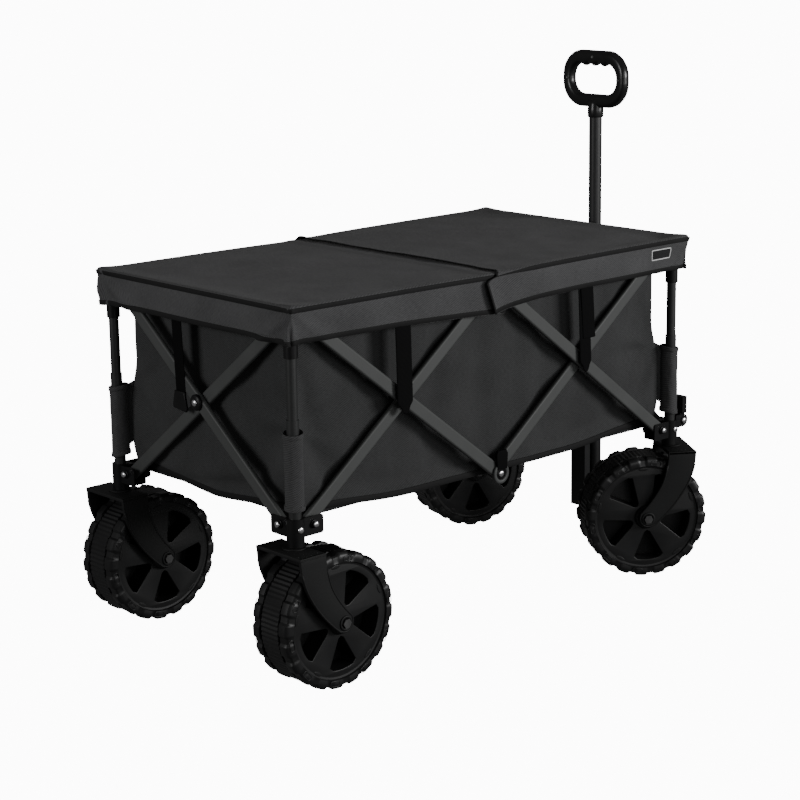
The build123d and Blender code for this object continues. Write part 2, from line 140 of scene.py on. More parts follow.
def reversed_faces(faces):
    return [tuple(reversed(face)) for face in faces]


def sheet(name, rows, columns, point, material, wrap=False, flip=False):
    """A grid of rows x columns vertices, where point(i, j) gives a place and its UV pair."""
    verts, uvs = zip(*[point(i, j) for i in range(rows) for j in range(columns)])
    faces = grid_faces(rows, columns, wrap)
    return add_object(name, verts, reversed_faces(faces) if flip else faces, material, uvs=uvs)


def evaluated_mesh(obj):
    graph = bpy.context.evaluated_depsgraph_get()
    return bpy.data.meshes.new_from_object(obj.evaluated_get(graph))


def apply_modifiers(obj):
    mesh = evaluated_mesh(obj)
    old = obj.data
    obj.modifiers.clear()
    obj.data = mesh
    if not old.users:
        bpy.data.meshes.remove(old)
    return obj


def thicken(obj, thickness, subdivisions=0, offset=0.0):
    """Give a sheet its thickness, around its own surface unless offset says otherwise."""
    solid = obj.modifiers.new("solid", "SOLIDIFY")
    solid.thickness, solid.offset = thickness, offset
    if subdivisions:
        smooth = obj.modifiers.new("smooth", "SUBSURF")
        smooth.levels = smooth.render_levels = subdivisions
    return apply_modifiers(obj)


def join(name, parts):
    """One object from several, keeping their materials."""
    mesh = bpy.data.meshes.new(name)
    combined = bmesh.new()
    materials = []
    for part in parts:
        one = part.data.copy()
        one.transform(part.matrix_world)
        places = []
        for material in one.materials:
            if material not in materials:
                materials.append(material)
            places.append(materials.index(material))
        for polygon in one.polygons:
            polygon.material_index = places[polygon.material_index]
        combined.from_mesh(one)
        bpy.data.meshes.remove(one)
    combined.to_mesh(mesh)
    combined.free()
    for material in materials:
        mesh.materials.append(material)
    for part in parts:
        bpy.data.objects.remove(part)
    return scene_object(name, mesh)


ROUND_STEPS = 3          # points on each rounded corner of a swept strip


def sweep(name, path, across, up, half_width, half_height, material, closed=False):
    """A rounded strip along a path: across and up are unit vectors at each point."""
    path, across, up = np.asarray(path, float), np.asarray(across, float), np.asarray(up, float)
    radius = min(half_width, half_height)
    section = []
    for corner, (sa, sb) in enumerate(((1, 1), (-1, 1), (-1, -1), (1, -1))):
        for step in range(ROUND_STEPS):
            angle = math.pi / 2 * (corner + step / (ROUND_STEPS - 1))
            section.append((sa * (half_width - radius) + radius * math.cos(angle),
                            sb * (half_height - radius) + radius * math.sin(angle)))
    count = len(section)
    verts, uvs = [], []
    run = np.concatenate([[0], np.cumsum(np.linalg.norm(np.diff(path, axis=0), axis=1))])
    for i in range(len(path)):
        for j, (a, b) in enumerate(section):
            verts.append(path[i] + across[i] * a + up[i] * b)
            uvs.append((run[i], a + b))
    faces = grid_faces(len(path), count, wrap=True)
    if closed:
        last = (len(path) - 1) * count
        faces += [(last + j, last + (j + 1) % count, (j + 1) % count, j) for j in range(count)]
    else:
        faces.append(tuple(reversed(range(count))))
        faces.append(tuple((len(path) - 1) * count + j for j in range(count)))
    return add_object(name, verts, faces, material, uvs=uvs)


def loop_sides(path, normal):
    """For a closed path that faces along normal: the unit vector across it at each point."""
    return [(path[(k + 1) % len(path)] - path[k - 1]).cross(normal).normalized() for k in range(len(path))]


def circle(radius, count=96):
    angles = [2 * math.pi * k / count for k in range(count)]
    return [(radius * math.cos(angle), radius * math.sin(angle)) for angle in angles]


def lathe(name, profile, material, steps=48, axis="Z"):
    """A closed turned shape; profile is a list of (radius, height) from one end to the other."""
    verts = [(radius * c, radius * s, height) for radius, height in profile for c, s in circle(1, steps)]
    faces = grid_faces(len(profile), steps, wrap=True)
    faces.append(tuple(reversed(range(steps))))
    faces.append(tuple((len(profile) - 1) * steps + k for k in range(steps)))
    obj = add_object(name, verts, faces, material)
    if axis == "Y":
        obj.data.transform(Matrix.Rotation(-math.pi / 2, 4, "X"))
    obj.data.update()
    return obj


def flat_shape(name, loops, depth, bevel, material, plane="XZ"):
    """A plate cut from 2-D loops (outer first, then holes), with rounded edges, centred on its plane."""
    curve = bpy.data.curves.new(name, "CURVE")
    curve.dimensions = "2D"
    curve.fill_mode = "BOTH"
    curve.extrude = depth / 2 - bevel
    curve.bevel_depth = bevel
    curve.bevel_resolution = 3
    curve.offset = -bevel
    for loop in loops:
        spline = curve.splines.new("POLY")
        spline.points.add(len(loop) - 1)
        for point, (a, b) in zip(spline.points, loop):
            point.co = (a, b, 0, 1)
        spline.use_cyclic_u = True
    holder = scene_object(name, curve)
    mesh = evaluated_mesh(holder)
    bpy.data.objects.remove(holder)
    turn = {"XZ": Matrix.Rotation(math.pi / 2, 4, "X"),
            "YZ": Matrix(((0, 0, 1, 0), (1, 0, 0, 0), (0, 1, 0, 0), (0, 0, 0, 1))),
            "XY": Matrix.Identity(4)}[plane]
    mesh.transform(turn)
    welded = bmesh.new()
    welded.from_mesh(mesh)
    bmesh.ops.remove_doubles(welded, verts=welded.verts, dist=1e-6)
    bmesh.ops.recalc_face_normals(welded, faces=welded.faces)
    welded.to_mesh(mesh)
    welded.free()
    mesh.materials.clear()
    mesh.materials.append(material)
    mesh.polygons.foreach_set("use_smooth", [True] * len(mesh.polygons))
    obj = scene_object(name, mesh)
    keep_edges(obj)
    return obj


def keep_edges(obj, degrees=35):
    """Shade smooth, but keep edges sharper than this sharp."""
    shaped = bmesh.new()
    shaped.from_mesh(obj.data)
    limit = math.radians(degrees)
    for edge in shaped.edges:
        if len(edge.link_faces) == 2 and edge.calc_face_angle(0) > limit:
            edge.smooth = False
    shaped.to_mesh(obj.data)
    shaped.free()


def rounded_loop(half_w, half_h, radius, steps=14, straight=1):
    """A rounded rectangle; each straight run is cut into the given number of parts."""
    points = []
    for corner, (sy, sz) in enumerate(((1, 1), (-1, 1), (-1, -1), (1, -1))):
        for k in range(steps + 1):
            angle = math.pi / 2 * (corner + k / steps)
            points.append((sy * (half_w - radius) + radius * math.cos(angle),
                           sz * (half_h - radius) + radius * math.sin(angle)))
    closed = points + points[:1]
    dense = []
    for index, (start, end) in enumerate(zip(closed[:-1], closed[1:])):
        cuts = straight if index % (steps + 1) == steps else 1
        dense += [tuple(a + (b - a) * k / cuts for a, b in zip(start, end)) for k in range(cuts)]
    return dense


def smoothstep(low, high, value):
    t = np.clip((value - low) / (high - low), 0, 1)
    return t * t * (3 - 2 * t)


def hump(distance, width):
    """1 at distance 0, falling smoothly to 0 over a few widths on both sides."""
    return math.exp(-(distance / width)**2)


def soft_noise(x, y, z=0.0):
    return noise.noise(Vector((x, y, z)))


# ---- materials -------------------------------------------------------------------------------------
class Nodes:
    """A short way to write a node material."""

    def __init__(self, name, **shader_values):
        self.material = bpy.data.materials.new(name)
        self.material.use_nodes = True
        self.tree = self.material.node_tree
        self.shader = self.tree.nodes["Principled BSDF"]
        for key, value in shader_values.items():
            self.shader.inputs[key.replace("_", " ")].default_value = value

    def add(self, kind, inputs=None, **settings):
        node = self.tree.nodes.new("ShaderNode" + kind)
        for key, value in settings.items():
            setattr(node, key, value)
        for key, value in (inputs or {}).items():
            if isinstance(value, bpy.types.NodeSocket):
                self.tree.links.new(value, node.inputs[key])
            else:
                node.inputs[key].default_value = value
        return node

    def math(self, operation, a, b=0.0):
        return self.add("Math", {0: a, 1: b}, operation=operation).outputs[0]

    def sum(self, a, b):
        return self.math("ADD", a, b)

    def times(self, a, b):
        return self.math("MULTIPLY", a, b)

    def mapped(self, vector, scale):
        return self.add("Mapping", {"Vector": vector, "Scale": scale}).outputs["Vector"]

    def ramp(self, value, low, high, low_color, high_color):
        node = self.add("ValToRGB", {"Fac": value})
        for element, place, color in zip(node.color_ramp.elements, (low, high), (low_color, high_color)):
            element.position = place
            element.color = (*color, 1)
        return node.outputs["Color"]

    def noise(self, vector, scale, detail=3.0):
        node = self.add("TexNoise", {"Vector": vector, "Scale": scale, "Detail": detail})
        return node.outputs["Fac"]

    def link(self, socket, name):
        self.tree.links.new(socket, self.shader.inputs[name])

    def bump(self, height, strength, distance, under=None):
        inputs = {"Height": height, "Strength": strength, "Distance": distance}
        if under is not None:
            inputs["Normal"] = under
        return self.add("Bump", inputs).outputs["Normal"]


WEAVE_PITCH = 0.0040


def shade(color, factor):
    return tuple(channel * factor for channel in color)


def woven_fabric(name, color, rough=0.82):
    """Woven polyester: two thread directions, a slub in each, soft cloudy tone changes."""
    n = Nodes(name, Roughness=rough, Sheen_Weight=0.04, Sheen_Roughness=0.5, Specular_IOR_Level=0.15)
    uv = n.add("UVMap", uv_map="cloth").outputs["UV"]
    parts = n.add("SeparateXYZ", {"Vector": uv})
    turn = 2 * math.pi / WEAVE_PITCH
    warp = n.math("SINE", n.times(parts.outputs["X"], turn))
    slant = n.sum(parts.outputs["Y"], n.times(parts.outputs["X"], 0.5))
    weft = n.math("SINE", n.times(slant, turn))
    weave = n.times(n.sum(n.times(warp, weft), 1.0), 0.5)
    slub = n.noise(n.mapped(uv, (120, 700, 1)), 1.0, 2.0)
    cloud = n.noise(uv, 9.0, 4.0)
    tone = n.sum(n.times(weave, 0.35), n.sum(n.times(slub, 0.35), n.times(cloud, 0.3)))
    n.link(n.ramp(tone, 0.3, 0.75, shade(color, 0.45), shade(color, 1.68)), "Base Color")
    n.link(n.sum(n.times(cloud, 0.16), rough - 0.08), "Roughness")
    coarse = n.bump(cloud, 0.15, 0.004)
    n.link(n.bump(n.sum(weave, n.times(slub, 0.6)), 0.55, 0.0004, coarse), "Normal")
    return n.material


def webbing(name, color, rib=0.0022, shine=0.25):
    """Ribbed tape: ribs run across its length, which is U."""
    n = Nodes(name, Roughness=0.75, Specular_IOR_Level=shine)
    uv = n.add("UVMap", uv_map="cloth").outputs["UV"]
    parts = n.add("SeparateXYZ", {"Vector": uv})
    ribs = n.math("SINE", n.times(parts.outputs["X"], 2 * math.pi / rib))
    ribs = n.times(n.sum(ribs, 1.0), 0.5)
    fibre = n.noise(uv, 700.0, 2.0)
    tone = n.sum(n.times(ribs, 0.6), n.times(fibre, 0.4))
    n.link(n.ramp(tone, 0.2, 0.85, shade(color, 0.6), shade(color, 1.5)), "Base Color")
    n.link(n.bump(tone, 0.6, 0.0005), "Normal")
    return n.material


def grained(name, color, rough, grain=900.0, depth=0.00015, spread=0.2, shine=0.35):
    """Moulded plastic or powder coat: fine grain, cloudy tone, rougher patches."""
    n = Nodes(name, Roughness=rough, Specular_IOR_Level=shine)
    place = n.add("TexCoord").outputs["Object"]
    fine = n.noise(place, grain, 2.0)
    cloud = n.noise(place, 14.0, 4.0)
    tone = n.sum(n.times(fine, 0.4), n.times(cloud, 0.6))
    n.link(n.ramp(tone, 0.3, 0.7, shade(color, 1 - spread), shade(color, 1 + spread)), "Base Color")
    n.link(n.sum(n.times(cloud, 0.2), rough - 0.1), "Roughness")
    n.link(n.bump(fine, 0.5, depth), "Normal")
    return n.material


def bright_metal(name, color, rough):
    n = Nodes(name, Metallic=1.0, Roughness=rough)
    place = n.add("TexCoord").outputs["Object"]
    scratch = n.noise(n.mapped(place, (900, 900, 120)), 1.0, 3.0)
    cloud = n.noise(place, 60.0, 3.0)
    n.link(n.ramp(scratch, 0.3, 0.7, shade(color, 0.85), shade(color, 1.08)), "Base Color")
    n.link(n.sum(n.times(cloud, 0.2), rough - 0.1), "Roughness")
    n.link(n.bump(scratch, 0.2, 0.0001), "Normal")
    return n.material


COVER_CLOTH = woven_fabric("cover_cloth", (0.058, 0.058, 0.0595))
BAG_CLOTH = woven_fabric("bag_cloth", (0.034, 0.0345, 0.035), rough=0.85)
SLEEVE_CLOTH = woven_fabric("sleeve_cloth", (0.045, 0.045, 0.046))
LINING = woven_fabric("lining_cloth", (0.016, 0.016, 0.017), rough=0.9)
BINDING = webbing("binding_tape", (0.0045, 0.0045, 0.0047), rib=0.0018)
STRAP = webbing("strap_webbing", (0.0032, 0.0032, 0.0034), shine=0.05)
THREAD = webbing("stitch_thread", (0.03, 0.03, 0.031), rib=0.003)
LABEL_EDGE = webbing("label_edge", (0.55, 0.55, 0.55), rib=0.002)
BAR_PAINT = grained("bar_powder_coat", (0.046, 0.048, 0.047), 0.55, grain=1500, depth=0.00008, spread=0.12)
POST_PAINT = grained("post_paint", (0.0175, 0.0180, 0.0180), 0.42, grain=1200, depth=0.00005, spread=0.12)
BRACKET = grained("bracket_plastic", (0.005, 0.005, 0.0053), 0.4, grain=700, depth=0.0001, shine=0.2)
FORK_COAT = grained("fork_coat", (0.0050, 0.0051, 0.0052), 0.6, grain=500, depth=0.0003, spread=0.25,
                    shine=0.25)
TYRE_PLASTIC = grained("wheel_plastic", (0.0055, 0.0055, 0.0058), 0.45, grain=500, depth=0.00015, spread=0.25)
GRIP_PLASTIC = grained("grip_plastic", (0.008, 0.008, 0.0083), 0.28, grain=700, depth=0.00012)
TUBE_PAINT = grained("tube_paint", (0.0155, 0.0155, 0.0160), 0.42, grain=900, depth=0.0001, spread=0.15)
HUB_PAINT = grained("hub_paint", (0.008, 0.008, 0.0085), 0.45, grain=900, depth=0.00008)
BOLT_STEEL = bright_metal("bolt_steel", (0.75, 0.75, 0.76), 0.25)
DARK_STEEL = bright_metal("dark_steel", (0.12, 0.12, 0.12), 0.4)


# ---- carried-over CAD nodes -------------------------------------------------------------------------
FINISHES = {"_bar": BAR_PAINT, "_post": POST_PAINT, "_pins": BOLT_STEEL, "_bolt": BOLT_STEEL,
            "_bolts": BOLT_STEEL, "_axle": DARK_STEEL, "_bracket": BRACKET, "handle_lock_button": BRACKET,
            "handle_hub": HUB_PAINT, "handle_outer_tube": HUB_PAINT, "handle_inner_tube": TUBE_PAINT}
for node, obj in frame["nodes"].items():
    for ending, material in FINISHES.items():
        if node.endswith(ending):
            obj.data.materials.clear()
            obj.data.materials.append(material)


# ---- wheels ----------------------------------------------------------------------------------------
WHEEL_R = (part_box("rear_left_wheel")[1].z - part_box("rear_left_wheel")[0].z) / 2
WHEEL_HALF = 0.0487
LUGS, RIBS, WINDOWS = 20, 90, 5
WINDOW_TURN = math.radians(-14)
LUG_H, RIB_H = 0.0030, 0.0014
LUG_STEPS = 18                                   # points round the rim for each lug
WEB_R, WALL_R, HUB_END = 0.1055, 0.100, 0.052
WINDOW_INNER, WINDOW_OUTER = (0.029, 0.17, 3), (0.0905, 0.350, 9)    # radius, half angle, points
POCKET_TURN = 0.157                              # how far the far side's pockets are turned, radians


def wheel_rim():
    """The tread and both side walls as one surface of revolution with lugs, grooves and ribs."""
    flat = WHEEL_R - LUG_H
    half_profile = [(flat - 0.0005, 0.0), (flat - 0.0005, 0.006), (flat - 0.0005, 0.012),
                    (flat - 0.0005, 0.018), (flat - 0.0005, 0.0225), (flat - 0.0035, 0.0235),
                    (flat - 0.0035, 0.0262), (flat, 0.0272), (flat, 0.033), (flat, 0.039),
                    (flat - 0.0005, 0.0435), (flat - 0.0030, 0.0465), (flat - 0.0065, WHEEL_HALF),
                    (flat - 0.0110, WHEEL_HALF + 0.0003), (flat - 0.0150, WHEEL_HALF - 0.0002),
                    (flat - 0.0165, WHEEL_HALF - 0.0035), (flat - 0.0200, WHEEL_HALF - 0.0042)]
    profile = [(r, -y) for r, y in reversed(half_profile)] + half_profile[1:]
    steps = LUGS * LUG_STEPS
    verts = []
    for r, y in profile:
        sign = 1 if y >= 0 else -1
        for k in range(steps):
            angle = 2 * math.pi * k / steps
            phase = (k / LUG_STEPS + 0.25 * sign) % 1
            lug = smoothstep(0.12, 0.26, phase) * (1 - smoothstep(0.74, 0.88, phase))
            rr, yy = r, y
            shoulder = smoothstep(0.0265, 0.0275, abs(y)) * smoothstep(flat - 0.014, flat - 0.008, r)
            rr += shoulder * (LUG_H * lug - 0.0010 * (1 - lug))
            side = smoothstep(0.046, 0.0485, abs(y)) * smoothstep(flat - 0.0155, flat - 0.0120, r)
            yy -= sign * side * 0.0016 * (1 - lug)
            if abs(y) < 0.023:
                rib = 0.5 + 0.5 * math.sin(RIBS * angle)
                rr += RIB_H * smoothstep(0.35, 0.65, rib)
            verts.append((rr * math.cos(angle), yy, rr * math.sin(angle)))
    faces = grid_faces(len(profile), steps, wrap=True)
    return add_object("rim", verts, faces, TYRE_PLASTIC)


def wheel_window(turn):
    """One wedge-shaped window, narrow at the hub, with rounded corners."""
    points = []
    for side, (r, half_angle, count) in ((1, WINDOW_INNER), (-1, WINDOW_OUTER)):
        for k in range(count):
            angle = turn + side * half_angle * (2 * k / (count - 1) - 1)
            radius = r + side * (0.004 if k in (0, count - 1) else 0.0)
            points.append((radius * math.cos(angle), radius * math.sin(angle)))
    return points


def build_wheel():
    windows = [wheel_window(2 * math.pi * k / WINDOWS + WINDOW_TURN) for k in range(WINDOWS)]
    web = flat_shape("web", [circle(WEB_R)] + windows, 2 * (WHEEL_HALF - 0.0042), 0.0016, TYRE_PLASTIC)
    hub_half = [(0.0255, 0.04), (0.0235, HUB_END - 0.003), (0.021, HUB_END), (0.012, HUB_END)]
    hub = lathe("hub", [(r, -y) for r, y in reversed(hub_half)] + hub_half, TYRE_PLASTIC, axis="Y")
    details = [flat_shape("wall", [circle(WALL_R)], 0.008, 0.001, TYRE_PLASTIC)]
    for k in range(WINDOWS):
        angle = 2 * math.pi * (k + 0.5) / WINDOWS + WINDOW_TURN
        oval = [(WALL_R + 0.0035 * c, 0.010 * s) for c, s in circle(1, 24)]
        pocket = flat_shape("pocket", [oval], 2 * (WHEEL_HALF - 0.0032), 0.0008, TYRE_PLASTIC)
        pocket.data.transform(Matrix.Rotation(-angle, 4, "Y"))
        details.append(pocket)
    for k in range(LUGS // 2):
        angle = 2 * math.pi * (k + 0.25) / (LUGS // 2)
        for face in (1, -1):
            loop = rounded_loop(0.0048, 0.0105, 0.0042, steps=4)
            path = [Vector((WHEEL_R - 0.0118 + a, face * (WHEEL_HALF + 0.0003), b)) for a, b in loop]
            normal = Vector((0, face, 0))
            outline = sweep("pocket_outline", path, loop_sides(path, normal), [normal] * len(path),
                            0.0006, 0.0006, TYRE_PLASTIC, closed=True)
            outline.data.transform(Matrix.Rotation(-angle - (POCKET_TURN if face > 0 else 0), 4, "Y"))
            details.append(outline)
    wheel = join("wheel", [wheel_rim(), web, hub] + details)
    keep_edges(wheel, 30)
    return wheel


wheel_pattern = build_wheel()
for corner in CORNERS:
    spin = joints[corner + "_spin"]
    wheel = scene_object(corner + "_wheel_look", wheel_pattern.data)
    turn = Vector((0, 1, 0)).rotation_difference(Vector(spin["axis"])).to_matrix().to_4x4()
    wheel.matrix_world = Matrix.Translation(spin["pos_m"]) @ turn
    attach(wheel, corner + "_wheel", "wheel_plastic", corner + "_wheel")
bpy.data.objects.remove(wheel_pattern)


# ---- forks -----------------------------------------------------------------------------------------
PLATE_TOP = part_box("rear_left_fork")[1].z - 0.010
FORK_HALF, FORK_PLATE = 0.061, 0.006
FORK_REAR_EDGE, FORK_FRONT_EDGE = -0.017, 0.040
TRAIL = abs(joint_place("rear_left_spin").x - posts["rear_left"].x)


def bezier(points, count=14):
    """Points along a cubic Bezier."""
    a, b, c, d = (np.array(p, float) for p in points)
    t = np.linspace(0, 1, count)[:, None]
    return [tuple(p) for p in (1 - t)**3 * a + 3 * t * (1 - t)**2 * b + 3 * t**2 * (1 - t) * c + t**3 * d]


def build_fork():
    """A stamped fork with its swivel axis at x=y=0 and its axle behind it, towards -X."""
    top = PLATE_TOP
    front = bezier([(FORK_FRONT_EDGE, top), (FORK_FRONT_EDGE, top - 0.056), (0.012, top - 0.104),
                    (-0.046, 0.1095)])
    toe = [(-TRAIL + 0.018 * math.cos(t), WHEEL_R + 0.018 * math.sin(t))
           for t in np.linspace(math.radians(-50), math.radians(-205), 16)]
    back = bezier([(-TRAIL - 0.0165, WHEEL_R + 0.009), (-0.044, 0.164), (-0.018, top - 0.058),
                   (FORK_REAR_EDGE, top)])
    outline = front + toe[1:-1] + back
    parts = []
    for side in (1, -1):
        leg = flat_shape("leg", [outline], FORK_PLATE, 0.0012, FORK_COAT)
        shift(leg, 0, side * (FORK_HALF - FORK_PLATE / 2), 0)
        rim_path = [Vector((x, side * (FORK_HALF - 0.0012), z)) for x, z in outline[2:-2]]
        centre = Vector((-0.01, side * FORK_HALF, 0.19))
        normal = Vector((0, side, 0))
        last = len(rim_path) - 1
        across = [(rim_path[min(i + 1, last)] - rim_path[max(i - 1, 0)]).cross(normal).normalized()
                  for i in range(last + 1)]
        rib = sweep("rib", [p - (p - centre).normalized() * 0.002 for p in rim_path], across,
                    [normal] * len(rim_path), 0.0022, 0.0020, FORK_COAT)
        parts += [leg, rib]
        boss = lathe("boss", [(0.0140, 0.0), (0.0140, 0.0012), (0.0130, 0.0022), (0.0095, 0.0022),
                              (0.0090, 0.0004), (0.0, 0.0004)], FORK_COAT, axis="Y")
        boss.data.transform(Matrix.Scale(side, 4, (0, 1, 0)))
        shift(boss, -TRAIL, side * FORK_HALF, WHEEL_R)
        if side < 0:
            boss.data.flip_normals()
        parts.append(boss)
    plate_loop = [(FORK_REAR_EDGE, -FORK_HALF), (FORK_FRONT_EDGE, -FORK_HALF), (FORK_FRONT_EDGE, FORK_HALF),
                  (FORK_REAR_EDGE, FORK_HALF)]
    plate = flat_shape("plate", [plate_loop], 0.007, 0.0016, FORK_COAT, plane="XY")
    shift(plate, 0, 0, top - 0.0035)
    dish = flat_shape("dish", [circle(0.021, 40)], 0.0024, 0.001, FORK_COAT, plane="XY")
    shift(dish, 0.004, 0, top + 0.001)
    stem = lathe("stem", [(0.0, -0.006), (0.012, -0.006), (0.012, 0.004), (0.008, 0.0045), (0.008, 0.009),
                          (0.0, 0.009)], DARK_STEEL)
    shift(stem, 0, 0, top)
    return join("fork", parts + [plate, dish, stem])


fork_pattern = build_fork()
for corner, (end, side) in CORNERS.items():
    away = joint_place(corner + "_spin") - posts[corner]
    turn = math.atan2(-away.y, -away.x)
    body = corner + "_caster" if end > 0 else corner + "_corner"
    fork = scene_object(corner + "_fork_look", fork_pattern.data)
    foot = Vector((posts[corner].x, posts[corner].y, 0))
    fork.matrix_world = Matrix.Translation(foot) @ Matrix.Rotation(turn, 4, "Z")
    attach(fork, body, "fork_paint", corner + "_fork")
bpy.data.objects.remove(fork_pattern)


# ---- cover -----------------------------------------------------------------------------------------
LAP_REAR, LAP_FRONT = -0.021, 0.006
EDGE_DROP = 0.0022                               # the bend between the top and the skirt
TOP_SAG, TOP_WAVE = 0.0026, 0.0022
SIDE_TAPER, END_TAPER, CORNER_TAPER = 0.0085, 0.0014, 0.0088     # how far the hem draws in
SIDE_FOLD, END_FOLD = 0.0028, 0.0085
LAP_BULGE = 0.0100                               # how far the free edge stands off
TOP_BINDING, HEM_BINDING, LAP_BINDING = 0.0044, 0.0048, 0.0026   # half widths of the tapes
TAPE_OUT, TAPE_T = 0.0006, 0.0012                # how far a tape lies off the cloth; half its thickness
STITCH_PITCH, STITCH_LENGTH, STITCH_R = 0.0052, 0.0034, 0.00042
LAP_REACH = 0.10
SKIRT = COVER_TOP - HEM_Z


def spaced(low, high, pitch):
    """Even places from low to high with two closer ones at each end."""
    inner = np.linspace(low, high, max(3, int(abs(high - low) / pitch)))
    edge = math.copysign(0.0022, high - low)
    start, end = [low, low + edge, low + 2.4 * edge], [high - 2.4 * edge, high - edge, high]
    return np.concatenate([start, inner[1:-1], end])


def corner_folds(along, depth, seed):
    """Folds that fan out from a pinched corner; along is the distance from the corner."""
    angle = math.atan2(depth, along + 0.004)
    reach = math.exp(-along / 0.10)
    wave = math.sin(angle * 9 + seed) + 0.6 * math.sin(angle * 17 + 2.1 * seed)
    return reach * wave * min(1, depth / 0.035)


